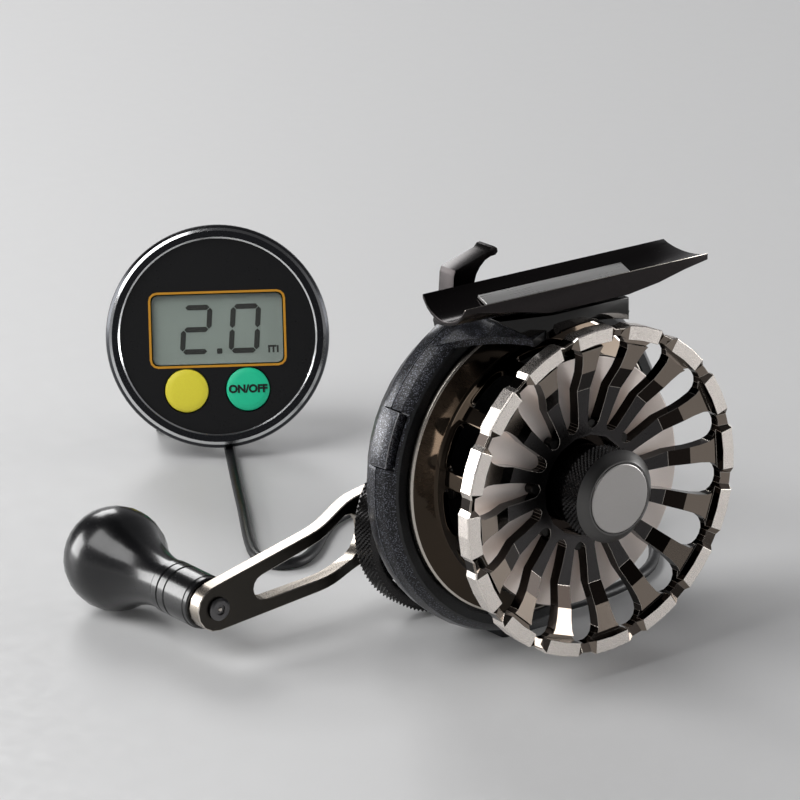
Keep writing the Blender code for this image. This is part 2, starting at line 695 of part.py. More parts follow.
def build_brake_knob():
    """The knurled brake knob and the satin cap let into its face."""
    back = -(DISH_HUB_DEPTH + BRAKE_RECESS_DEPTH) + FIT_GAP
    front = BRAKE_KNOB_STANDOUT
    seat = front - BRAKE_CAP_DEPTH
    bore = SHAFT_RADIUS + FIT_GAP
    lip = BRAKE_CAP_RADIUS + FIT_GAP
    turned("brake_knob", [
        (seat - BRAKE_WALL, 0), (seat - BRAKE_WALL, bore), (back, bore),
        (back, BRAKE_NECK_RADIUS), (-BRAKE_GRIP_DEPTH, BRAKE_NECK_RADIUS),
        (-BRAKE_GRIP_DEPTH, BRAKE_KNOB_RADIUS - EDGE_SOFTEN),
        (EDGE_SOFTEN - BRAKE_GRIP_DEPTH, BRAKE_KNOB_RADIUS),
        (front - BRAKE_CHAMFER, BRAKE_KNOB_RADIUS), (front, lip), (seat, lip), (seat, 0),
    ], SPOOL_FRAME, MATT_BLACK, SEGMENTS_MEDIUM)
    top = front + BRAKE_CAP_STANDOUT
    turned("brake_cap", [
        (seat + FIT_GAP, 0), (seat + FIT_GAP, BRAKE_CAP_RADIUS), (front, BRAKE_CAP_RADIUS),
        (top, BRAKE_CAP_RADIUS - EDGE_SOFTEN), (top, 0),
    ], SPOOL_FRAME, SATIN_GREY, SEGMENTS_MEDIUM)


def bridge_outline():
    """Outline of the bridge in the unrolled band: (angle, place along the axis) pairs."""
    start, end = math.radians(BRIDGE_START_DEG), math.radians(BRIDGE_END_DEG)
    flare = math.radians(BRIDGE_FLARE_DEG)
    length = BRIDGE_FRONT_X - FRAME_BACK_X
    rows = []
    for step in range(BRIDGE_STEPS + 1):
        share = step / BRIDGE_STEPS
        widen = (1 - share) ** BRIDGE_FLARE_POWER_SHARE * flare
        rows.append((start - widen, end + widen, FRAME_BACK_X + length * share))
    return rows


def build_frame():
    """The frame ring with its plate, and the bridge that reaches over the spool."""
    lip = FRAME_BORE + FRAME_LIP_WIDTH
    middle_x = (FRAME_FRONT_X + FRAME_BACK_X) / 2
    middle_radius = (lip + FRAME_BARREL_RADIUS) / 2 + FRAME_CHAMFER
    bore = PINION_SLEEVE_RADIUS + RUN_GAP
    frame = turned("main_frame", [
        (PLATE_FRONT_X, bore), (PLATE_FRONT_X, FRAME_BORE), (FRAME_FRONT_X, FRAME_BORE),
        (FRAME_FRONT_X, lip - FRAME_CHAMFER), (FRAME_FRONT_X - FRAME_CHAMFER, lip),
        (middle_x, middle_radius), (FRAME_BACK_X, FRAME_BARREL_RADIUS),
        (FRAME_BACK_X, FRAME_BORE + FRAME_LIP_WIDTH / 2), (PLATE_BACK_X, FRAME_BORE), (PLATE_BACK_X, bore),
    ], SPOOL_FRAME, GRANITE, SEGMENTS_LARGE)
    rows = bridge_outline()
    shell = bmesh.new()
    columns = 10
    grid = []
    for low, high, along in rows:
        line = []
        for column in range(columns + 1):
            angle = low + (high - low) * column / columns
            line.append(shell.verts.new((BRIDGE_INNER * math.cos(angle), BRIDGE_INNER * math.sin(angle),
                                         along)))
        grid.append(line)
    for lower, upper in zip(grid, grid[1:]):
        for index in range(columns):
            shell.faces.new((lower[index], upper[index], upper[index + 1], lower[index + 1]))
    mesh = bpy.data.meshes.new("bridge")
    shell.to_mesh(mesh)
    shell.free()
    bridge = place(bpy.data.objects.new("bridge_tool", mesh), SPOOL_FRAME, None, cutter=True)
    thicken = bridge.modifiers.new("Wall", "SOLIDIFY")
    thicken.thickness = BRIDGE_THICKNESS
    thicken.offset = -1
    join(frame, bridge)
    return frame


def build_cover():
    """The side cover: a tapering cup with the gear boss and the handle's bearing boss."""
    shoulder_x = COVER_FRONT_X - COVER_BARREL_DEPTH
    inside = FRAME_BARREL_RADIUS - COVER_WALL
    back_inner = COVER_BACK_RADIUS - COVER_WALL
    cover = turned("side_cover", [
        (COVER_FRONT_X, 0), (COVER_FRONT_X, FRAME_BARREL_RADIUS),
        (shoulder_x, FRAME_BARREL_RADIUS - EDGE_SOFTEN),
        (shoulder_x - COVER_EDGE_DEPTH, FRAME_BARREL_RADIUS - COVER_WALL),
        (COVER_BACK_X + COVER_DOME_RISE, (FRAME_BARREL_RADIUS + COVER_BACK_RADIUS) / 2),
        (COVER_BACK_X, COVER_BACK_RADIUS),
        (COVER_BACK_X, 0),
    ], SPOOL_FRAME, GRANITE, SEGMENTS_LARGE)
    step_x = COVER_BACK_X - COVER_EDGE_DEPTH
    bosses = turned("cover_boss_tool", [
        (BOSS_BACK_X, 0), (BOSS_BACK_X, HANDLE_BOSS_RADIUS - EDGE_SOFTEN),
        (BOSS_BACK_X + EDGE_SOFTEN, HANDLE_BOSS_RADIUS), (step_x, HANDLE_BOSS_RADIUS),
        (step_x, GEAR_BOSS_RADIUS - COVER_EDGE_DEPTH), (step_x + COVER_EDGE_DEPTH, GEAR_BOSS_RADIUS),
        (COVER_FRONT_X - RUN_GAP, GEAR_BOSS_RADIUS), (COVER_FRONT_X - RUN_GAP, 0),
    ], HUB_FRAME, None, SEGMENTS_MEDIUM, cutter=True)
    join(cover, bosses)
    cavity = turned("cover_cavity_cutter", [
        (COVER_INSIDE_X, 0), (COVER_INSIDE_X, back_inner), (shoulder_x, inside),
        (COVER_FRONT_X + CUT_OVERRUN, inside),
        (COVER_FRONT_X + CUT_OVERRUN, 0),
    ], SPOOL_FRAME, None, SEGMENTS_LARGE, cutter=True)
    cut(cover, cavity)
    bore = HANDLE_BEARING_RADIUS + FIT_GAP
    room_back = COVER_INSIDE_X - EDGE_SOFTEN
    room_radius = GEAR_BOSS_RADIUS - COVER_WALL
    room = turned("gear_room_cutter", [
        (BOSS_BACK_X - CUT_OVERRUN, 0), (BOSS_BACK_X - CUT_OVERRUN, bore), (room_back, bore),
        (room_back, room_radius), (COVER_FRONT_X + CUT_OVERRUN, room_radius),
        (COVER_FRONT_X + CUT_OVERRUN, 0),
    ], HUB_FRAME, None, SEGMENTS_MEDIUM, cutter=True)
    cut(cover, room)
    slot_front = COVER_FRONT_X + CUT_OVERRUN
    slot_back = COVER_FRONT_X - LEVER_SETBACK - LEVER_WIDTH - RUN_GAP
    slot = box("lever_slot_cutter", (LEVER_PIVOT_Y - LEVER_EYE_RADIUS - RUN_GAP,
                                     LEVER_PIVOT_Z - LEVER_EYE_RADIUS - LEVER_SLOT_MARGIN, slot_back),
               (LEVER_PIVOT_Y + LEVER_EYE_RADIUS + LEVER_SWING_ROOM, FRAME_BARREL_RADIUS + CUT_OVERRUN,
                slot_front), SPOOL_FRAME,
               cutter=True)
    cut(cover, slot)
    for name, degrees in zip(("cover_screw_a", "cover_screw_b", "cover_screw_c"), COVER_SCREW_DEGS):
        angle = math.radians(degrees)
        seat = frame_at(0, COVER_SCREW_CIRCLE * math.cos(angle), COVER_SCREW_CIRCLE * math.sin(angle))
        sink = turned(name + "_sink", [
            (COVER_BACK_X - CUT_OVERRUN, 0), (COVER_BACK_X - CUT_OVERRUN, COVER_SCREW_RADIUS + FIT_GAP),
            (COVER_BACK_X + COVER_SCREW_HEAD, COVER_SCREW_RADIUS + FIT_GAP),
            (COVER_BACK_X + COVER_SCREW_HEAD, 0),
        ], seat, None, SEGMENTS_SMALL, cutter=True)
        cut(cover, sink)
        head_front = COVER_BACK_X + COVER_SCREW_HEAD - FIT_GAP
        turned(name, [
            (COVER_BACK_X + EDGE_SOFTEN, 0), (COVER_BACK_X, COVER_SCREW_RADIUS / 3),
            (COVER_BACK_X, COVER_SCREW_RADIUS - EDGE_SOFTEN),
            (COVER_BACK_X + EDGE_SOFTEN, COVER_SCREW_RADIUS),
            (head_front, COVER_SCREW_RADIUS), (head_front, 0),
        ], seat, STEEL, SEGMENTS_SMALL)
    return cover


def build_tab(frame, cover):
    """The lock plate that is let into the band across the seam."""
    front = FRAME_BACK_X + TAB_FORWARD
    back = front - TAB_WIDTH
    start, end = math.radians(TAB_START_DEG), math.radians(TAB_END_DEG)
    outer = FRAME_BARREL_RADIUS + EDGE_SOFTEN
    margin = FIT_GAP / outer
    inner = FRAME_BORE + FRAME_LIP_WIDTH - TAB_THICKNESS / 2
    outline = sector(inner, outer, (start + end) / 2, end - start, TAB_STEPS)
    tab = outline_solid("lock_plate", [outline], back, front, SPOOL_FRAME, GRANITE)
    recess_outline = sector(inner - FIT_GAP, outer + CUT_OVERRUN, (start + end) / 2,
                            end - start + margin + margin, TAB_STEPS)
    recess = outline_solid("lock_plate_recess", [recess_outline], back - FIT_GAP, front + FIT_GAP,
                           SPOOL_FRAME, cutter=True)
    cut(frame, recess)
    cut(cover, recess)
    return tab


def tooth_outline(teeth, phase):
    """Return a spur gear's outline with straight-flanked teeth; a tooth points along the phase."""
    pitch_radius = GEAR_MODULE * teeth / 2
    tip = pitch_radius + GEAR_MODULE * ADDENDUM_SHARE
    root = pitch_radius - GEAR_MODULE * DEDENDUM_SHARE
    step = math.tau / teeth
    points = []
    for index in range(teeth):
        middle = phase + step * index
        for radius, share in ((root, -TOOTH_ROOT_SHARE), (tip, -TOOTH_TIP_SHARE),
                              (tip, TOOTH_TIP_SHARE), (root, TOOTH_ROOT_SHARE)):
            angle = middle + step * share / 2
            points.append((radius * math.cos(angle), radius * math.sin(angle)))
    return points


def build_gears():
    """The main gear on the handle shaft and the pinion on the spool shaft, in mesh."""
    toward_spool = HUB_DIRECTION + math.pi
    gear = outline_solid("main_gear", [tooth_outline(MAIN_TEETH, toward_spool)], GEAR_BACK_X, GEAR_FRONT_X,
                         HUB_FRAME, BRASS)
    bore = turned("main_gear_bore", [
        (GEAR_BACK_X - CUT_OVERRUN, 0), (GEAR_BACK_X - CUT_OVERRUN, GEAR_SEAT_RADIUS + FIT_GAP),
        (GEAR_FRONT_X + CUT_OVERRUN, GEAR_SEAT_RADIUS + FIT_GAP), (GEAR_FRONT_X + CUT_OVERRUN, 0),
    ], HUB_FRAME, None, SEGMENTS_SMALL, cutter=True)
    cut(gear, bore)
    toward_gap = HUB_DIRECTION + math.pi / PINION_TEETH
    front, back = GEAR_FRONT_X + PINION_OVERHANG, GEAR_BACK_X - PINION_OVERHANG
    pinion = outline_solid("pinion", [tooth_outline(PINION_TEETH, toward_gap)], back, front, SPOOL_FRAME,
                           BRASS)
    sleeve = turned("pinion_sleeve_tool", [
        (front - PINION_OVERHANG, 0), (front - PINION_OVERHANG, PINION_SLEEVE_RADIUS),
        (DRUM_BACK_X - FLANGE_THICKNESS - FIT_GAP, PINION_SLEEVE_RADIUS),
        (DRUM_BACK_X - FLANGE_THICKNESS - FIT_GAP, 0),
    ], SPOOL_FRAME, None, SEGMENTS_SMALL, cutter=True)
    join(pinion, sleeve)
    pinion_bore = turned("pinion_bore", [
        (back - CUT_OVERRUN, 0), (back - CUT_OVERRUN, SHAFT_RADIUS + FIT_GAP),
        (DRUM_BACK_X, SHAFT_RADIUS + FIT_GAP), (DRUM_BACK_X, 0),
    ], SPOOL_FRAME, None, SEGMENTS_SMALL, cutter=True)
    cut(pinion, pinion_bore)
    return back


def build_yoke(pinion_back):
    """The sliding clutch yoke behind the pinion, on two posts of the side cover."""
    front = pinion_back - FIT_GAP
    back = front - YOKE_THICKNESS
    ears = [arc((side * YOKE_EAR_REACH, YOKE_EAR_RISE), YOKE_EAR_RADIUS,
                -math.pi / 2 + (side < 0) * math.pi,
                math.pi / 2 + (side < 0) * math.pi, 6) for side in (1, -1)]
    waist = YOKE_EAR_RADIUS + YOKE_EAR_RISE
    body = arc((0, 0), YOKE_RADIUS, math.pi + math.asin(YOKE_EAR_RADIUS / YOKE_RADIUS / 2),
               math.tau - math.asin(YOKE_EAR_RADIUS / YOKE_RADIUS / 2), 10)
    outline = ears[0] + [(0, waist)] + ears[1] + body
    yoke = outline_solid("clutch_yoke", [counter_clockwise(outline)], back, front, SPOOL_FRAME,
                         MATT_BLACK)
    holes = [arc((side * YOKE_EAR_REACH, YOKE_EAR_RISE), YOKE_POST_RADIUS + FIT_GAP, 0, math.tau, 12)[:-1]
             for side in (1, -1)]
    holes.append(arc((0, 0), SHAFT_RADIUS + FIT_GAP, 0, math.tau, 16)[:-1])
    cutter = outline_solid("yoke_holes", holes, back - CUT_OVERRUN, front + CUT_OVERRUN, SPOOL_FRAME,
                           cutter=True)
    cut(yoke, cutter)
    for name, side in (("yoke_post_near", -1), ("yoke_post_far", 1)):
        post_front = front + YOKE_THICKNESS
        post_back = COVER_INSIDE_X + FIT_GAP
        turned(name, [(post_back, 0), (post_back, YOKE_POST_RADIUS), (post_front, YOKE_POST_RADIUS),
                      (post_front, 0)],
               frame_at(0, side * YOKE_EAR_REACH, YOKE_EAR_RISE), STEEL, SEGMENTS_SMALL)


def build_lever():
    """The release lever, hooked over behind the foot, and its pin."""
    front = COVER_FRONT_X - LEVER_SETBACK
    back = front - LEVER_WIDTH
    blade = [(LEVER_REACH * across, LEVER_HEIGHT * up) for across, up in LEVER_OUTLINE_SHARES]
    eye = arc((0, 0), LEVER_EYE_RADIUS, math.radians(60), math.radians(-240), 10)
    pivot = frame_at(0, LEVER_PIVOT_Y, LEVER_PIVOT_Z)
    lever = outline_solid("release_lever", [counter_clockwise(blade + eye)], back, front, pivot,
                          BLACK_ANODISED)
    hole = turned("lever_hole", [
        (back - CUT_OVERRUN, 0), (back - CUT_OVERRUN, LEVER_PIN_RADIUS + FIT_GAP),
        (front + CUT_OVERRUN, LEVER_PIN_RADIUS + FIT_GAP), (front + CUT_OVERRUN, 0),
    ], pivot, None, SEGMENTS_SMALL, cutter=True)
    cut(lever, hole)
    pin_front = FRAME_BACK_X - FIT_GAP
    pin_back = back - FIT_GAP
    turned("lever_pin", [(pin_back, 0), (pin_back, LEVER_PIN_RADIUS), (pin_front, LEVER_PIN_RADIUS),
                         (pin_front, 0)],
           pivot, STEEL, SEGMENTS_SMALL)
    return lever


def build_foot():
    """The trough-shaped rod foot, lofted along the rod, with its strip and the block under it."""
    half = FOOT_WIDTH / 2
    loft = bmesh.new()
    loops = []
    for along, trough, under, flat in FOOT_STATION_SHARES:
        inner = FOOT_FAR_DEPTH + (FOOT_TROUGH_DEPTH - FOOT_FAR_DEPTH) * trough
        outer = FOOT_FAR_THICKNESS + (FOOT_MIDDLE_DEPTH - FOOT_FAR_THICKNESS) * under
        steps = [step / FOOT_ARC_STEPS for step in range(FOOT_ARC_STEPS + 1)]
        bow = [math.sin(math.pi * share) ** 0.7 for share in steps]
        upper = [(half * 2 * share - half, -inner * rise) for share, rise in zip(steps, bow)]
        lower = [(half * 2 * share - half, -FOOT_EDGE - (outer - FOOT_EDGE) * (flat + (1 - flat) * rise))
                 for share, rise in zip(steps, bow)]
        y = FOOT_LENGTH * along - FOOT_LENGTH / 2
        loops.append([loft.verts.new((FOOT_CENTRE_X + x, y, FOOT_TOP_Z + z)) for x,
                      z in upper + lower[::-1]])
    count = len(loops[0])
    for first, second in zip(loops, loops[1:]):
        for index in range(count):
            after = (index + 1) % count
            loft.faces.new((first[index], first[after], second[after], second[index]))
    columns = FOOT_ARC_STEPS
    for loop in (loops[0], loops[-1]):
        for index in range(columns):
            loft.faces.new((loop[index], loop[index + 1], loop[count - 2 - index], loop[count - 1 - index]))
    bmesh.ops.recalc_face_normals(loft, faces=loft.faces)
    mesh = bpy.data.meshes.new("reel_foot")
    loft.to_mesh(mesh)
    loft.free()
    flat_frame = frame_at(0, 0, 0, Matrix.Identity(3))
    foot = place(bpy.data.objects.new("reel_foot", mesh), flat_frame, BLACK_ANODISED)
    trough_radius = (half ** 2 + FOOT_TROUGH_DEPTH ** 2) / (2 * FOOT_TROUGH_DEPTH)
    trough_z = FOOT_TOP_Z - FOOT_TROUGH_DEPTH + trough_radius
    lean, rise = math.sin(math.radians(STRIP_TILT_DEG)), math.cos(math.radians(STRIP_TILT_DEG))
    slope = Matrix(((0, lean, rise), (1, 0, 0), (0, rise, -lean)))
    seat = trough_radius - STRIP_LIFT
    strip_frame = frame_at(FOOT_CENTRE_X - seat * lean, STRIP_OFFSET_Y, trough_z - seat * rise, slope)
    box("foot_strip", (-STRIP_LENGTH / 2, 0, -STRIP_WIDTH / 2),
        (STRIP_LENGTH / 2, STRIP_THICKNESS, STRIP_WIDTH / 2), strip_frame, WHITE_METAL)
    top = FOOT_TOP_Z - FOOT_MIDDLE_DEPTH - FIT_GAP
    low = BRIDGE_INNER * math.cos(math.asin(BLOCK_FAR_Y / BRIDGE_INNER)) - BLOCK_LIP_DROP
    side = [(BLOCK_NEAR_Y, low), (BLOCK_FAR_Y, low), (BLOCK_FAR_Y, top),
            (BLOCK_NEAR_Y - BLOCK_WEDGE_Y, top),
            (BLOCK_NEAR_Y - BLOCK_WEDGE_Y, top - EDGE_SOFTEN)]
    block = outline_solid("foot_block", [side], BLOCK_BACK_X, BLOCK_FRONT_X, SPOOL_FRAME, BLACK_ANODISED)
    wedge = [(BLOCK_FRONT_X + CUT_OVERRUN, BLOCK_NEAR_Y), (BLOCK_FRONT_X, BLOCK_NEAR_Y),
             (BLOCK_FRONT_X - BLOCK_WEDGE_X, BLOCK_NEAR_Y - BLOCK_WEDGE_Y - CUT_OVERRUN),
             (BLOCK_FRONT_X + CUT_OVERRUN, BLOCK_NEAR_Y - BLOCK_WEDGE_Y - CUT_OVERRUN)]
    corner = outline_solid("block_wedge_cutter", [counter_clockwise(wedge)], low - CUT_OVERRUN,
                           top + CUT_OVERRUN,
                           flat_frame, cutter=True)
    cut(block, corner)
    lip_x = BRIDGE_FRONT_X + FIT_GAP
    arch = turned("block_arch_cutter", [
        (BLOCK_BACK_X - CUT_OVERRUN, 0), (BLOCK_BACK_X - CUT_OVERRUN, BRIDGE_OUTER + FIT_GAP),
        (lip_x, BRIDGE_OUTER + FIT_GAP), (lip_x, BRIDGE_INNER), (BLOCK_FRONT_X + CUT_OVERRUN, BRIDGE_INNER),
        (BLOCK_FRONT_X + CUT_OVERRUN, 0),
    ], SPOOL_FRAME, None, SEGMENTS_LARGE + SEGMENTS_LARGE, cutter=True)
    cut(block, arch)
    return foot, block


def build_foot_screws(frame, foot, block):
    """Two screws from under the bridge, through the block and into the foot."""
    upright = Matrix.Identity(3)
    middle_y = (BLOCK_NEAR_Y + BLOCK_FAR_Y) / 2
    screw_x = (BLOCK_BACK_X + BLOCK_FRONT_X) / 2
    tip = FOOT_TOP_Z - (FOOT_TROUGH_DEPTH + FOOT_MIDDLE_DEPTH) / 2
    for name, side in (("foot_screw_near", -1), ("foot_screw_far", 1)):
        y = middle_y + side * FOOT_SCREW_SPACING / 2
        seat = math.sqrt(BRIDGE_INNER ** 2 - (abs(y) + FOOT_SCREW_HEAD_RADIUS) ** 2) + FIT_GAP
        spot = frame_at(screw_x, y, 0, upright)
        turned(name, [
            (tip, 0), (tip, FOOT_SCREW_RADIUS), (seat, FOOT_SCREW_RADIUS), (seat, FOOT_SCREW_HEAD_RADIUS),
            (seat - FOOT_SCREW_HEAD, FOOT_SCREW_HEAD_RADIUS - EDGE_SOFTEN), (seat - FOOT_SCREW_HEAD, 0),
        ], spot, STEEL, SEGMENTS_SMALL)
        hole = turned(name + "_hole", [
            (tip + FIT_GAP / 2, 0), (tip + FIT_GAP / 2, FOOT_SCREW_RADIUS + FIT_GAP),
            (seat + FIT_GAP, FOOT_SCREW_RADIUS + FIT_GAP),
            (seat + FIT_GAP, FOOT_SCREW_HEAD_RADIUS + FIT_GAP),
            (seat - FOOT_SCREW_HEAD - CUT_OVERRUN, FOOT_SCREW_HEAD_RADIUS + FIT_GAP),
            (seat - FOOT_SCREW_HEAD - CUT_OVERRUN, 0),
        ], spot, None, SEGMENTS_SMALL, cutter=True)
        for piece in (frame, foot, block):
            cut(piece, hole)


def build_pod():
    """The cord's outlet block under the side cover, the gland in it and the sensor board."""
    high_x = COVER_FRONT_X - POD_SETBACK
    low_x = high_x - POD_WIDTH
    end_y = POD_OFFSET + POD_LENGTH / 2
    floor_z = -SPOOL_Z
    top_z = -math.sqrt((GEAR_CENTRES + GEAR_BOSS_RADIUS) ** 2 - end_y ** 2) + EDGE_SOFTEN
    plan = rounded_rectangle(((low_x + high_x) / 2, POD_OFFSET), POD_WIDTH, POD_LENGTH, POD_CORNER)
    flat = frame_at(0, 0, 0, Matrix.Identity(3))
    pod = outline_solid("outlet_block", [plan], floor_z, top_z, flat, MATT_BLACK)
    clear_boss = turned("outlet_boss_cutter", [
        (COVER_BACK_X - CUT_OVERRUN, 0), (COVER_BACK_X - CUT_OVERRUN, GEAR_BOSS_RADIUS + FIT_GAP),
        (COVER_FRONT_X + CUT_OVERRUN, GEAR_BOSS_RADIUS + FIT_GAP), (COVER_FRONT_X + CUT_OVERRUN, 0),
    ], HUB_FRAME, None, SEGMENTS_LARGE, cutter=True)
    cut(pod, clear_boss)
    clear_band = turned("outlet_band_cutter", [
        (COVER_BACK_X - CUT_OVERRUN, 0), (COVER_BACK_X - CUT_OVERRUN, FRAME_BARREL_RADIUS + FIT_GAP),
        (COVER_FRONT_X + CUT_OVERRUN, FRAME_BARREL_RADIUS + FIT_GAP), (COVER_FRONT_X + CUT_OVERRUN, 0),
    ], SPOOL_FRAME, None, SEGMENTS_LARGE, cutter=True)
    cut(pod, clear_band)
    return (low_x + high_x) / 2, end_y


def build_board():
    """The sensor board behind the frame's plate."""
    angle = math.radians(BOARD_DEG)
    y, z = BOARD_RADIUS * math.cos(angle), BOARD_RADIUS * math.sin(angle)
    half = BOARD_SIZE / 2
    box("sensor_board", (y - half, z - half, PLATE_BACK_X - FIT_GAP - BOARD_THICKNESS),
        (y + half, z + half, PLATE_BACK_X - FIT_GAP),
        SPOOL_FRAME, CIRCUIT)


def build_handle_stack():
    """The handle shaft and what is threaded on it, the drag wheel included."""
    front = PLATE_BACK_X - FIT_GAP
    seat_back = GEAR_BACK_X - WASHER_THICKNESS - PRESSURE_PLATE_THICKNESS - FIT_GAP * 3
    turned("handle_shaft", [
        (front, 0), (front, HANDLE_SHAFT_RADIUS), (front - RUN_GAP, GEAR_SEAT_RADIUS),
        (seat_back, GEAR_SEAT_RADIUS),
        (seat_back, HANDLE_SHAFT_RADIUS), (SHAFT_END_X, HANDLE_SHAFT_RADIUS), (SHAFT_END_X, 0),
    ], HUB_FRAME, STEEL, SEGMENTS_SMALL)
    washer_front = GEAR_BACK_X - FIT_GAP
    washer_back = washer_front - WASHER_THICKNESS
    inner = GEAR_SEAT_RADIUS + FIT_GAP
    turned("drag_washer", [(washer_front, inner), (washer_front, WASHER_RADIUS),
                           (washer_back, WASHER_RADIUS),
                           (washer_back, inner)], HUB_FRAME, CARBON_FELT, SEGMENTS_MEDIUM)
    plate_front = washer_back - FIT_GAP
    plate_back = plate_front - PRESSURE_PLATE_THICKNESS
    turned("pressure_plate", [(plate_front, inner), (plate_front, WASHER_RADIUS - EDGE_SOFTEN),
                              (plate_back, WASHER_RADIUS - EDGE_SOFTEN), (plate_back, inner)],
           HUB_FRAME, STEEL, SEGMENTS_MEDIUM)
    bearing_back = BOSS_BACK_X + EDGE_SOFTEN
    bore = HANDLE_SHAFT_RADIUS + FIT_GAP
    ring("handle_bearing", bearing_back + HANDLE_BEARING_WIDTH, bearing_back, bore, HANDLE_BEARING_RADIUS,
         HUB_FRAME, STEEL)
    rim_inner = DRAG_WHEEL_RADIUS - DRAG_RIM
    web_front = (DRAG_FRONT_X + DRAG_BACK_X + DRAG_WEB) / 2
    web_back = web_front - DRAG_WEB
    drag = turned("drag_wheel", [
        (DRAG_FRONT_X, bore), (DRAG_FRONT_X, DRAG_HUB_RADIUS), (web_front, DRAG_HUB_RADIUS),
        (web_front, rim_inner),
        (DRAG_FRONT_X, rim_inner), (DRAG_FRONT_X, DRAG_WHEEL_RADIUS - EDGE_SOFTEN),
        (DRAG_FRONT_X - EDGE_SOFTEN, DRAG_WHEEL_RADIUS), (DRAG_BACK_X + EDGE_SOFTEN, DRAG_WHEEL_RADIUS),
        (DRAG_BACK_X, DRAG_WHEEL_RADIUS - EDGE_SOFTEN), (DRAG_BACK_X, rim_inner), (web_back, rim_inner),
        (web_back, DRAG_HUB_RADIUS), (DRAG_BACK_X, DRAG_HUB_RADIUS), (DRAG_BACK_X, bore),
    ], HUB_FRAME, MATT_BLACK, SEGMENTS_MEDIUM)
    span = math.radians(DRAG_WINDOW_ARC_DEG)
    turns = [math.radians(DRAG_WINDOW_PHASE_DEG) + math.tau * index / DRAG_WINDOW_COUNT
             for index in range(DRAG_WINDOW_COUNT)]
    holes = [sector(DRAG_HUB_RADIUS + RUN_GAP, rim_inner - RUN_GAP, turn, span, 4) for turn in turns]
    windows = outline_solid("drag_wheel_windows", holes, DRAG_BACK_X - CUT_OVERRUN,
                            DRAG_FRONT_X + CUT_OVERRUN,
                            HUB_FRAME, cutter=True)
    cut(drag, windows)
    ring("handle_collar", COLLAR_FRONT_X, COLLAR_BACK_X, bore, COLLAR_RADIUS, HUB_FRAME, STEEL)
    nut_back = NUT_FRONT_X - NUT_HEIGHT
    hexagon = arc((0, 0), NUT_RADIUS, 0, math.tau, 6)[:-1]
    nut = outline_solid("handle_nut", [hexagon], nut_back, NUT_FRONT_X, HUB_FRAME, STEEL)
    nut_bore = turned("handle_nut_bore", [
        (nut_back + RUN_GAP, 0), (nut_back + RUN_GAP, bore), (NUT_FRONT_X + CUT_OVERRUN, bore),
        (NUT_FRONT_X + CUT_OVERRUN, 0),
    ], HUB_FRAME, None, SEGMENTS_SMALL, cutter=True)
    cut(nut, nut_bore)
    soften(nut)


def arm_frame():
    """Return the arm's frame: local X points along the arm to the near knob."""
    turn = Matrix.Rotation(ARM_ANGLE, 4, "Z")
    return HUB_FRAME @ turn


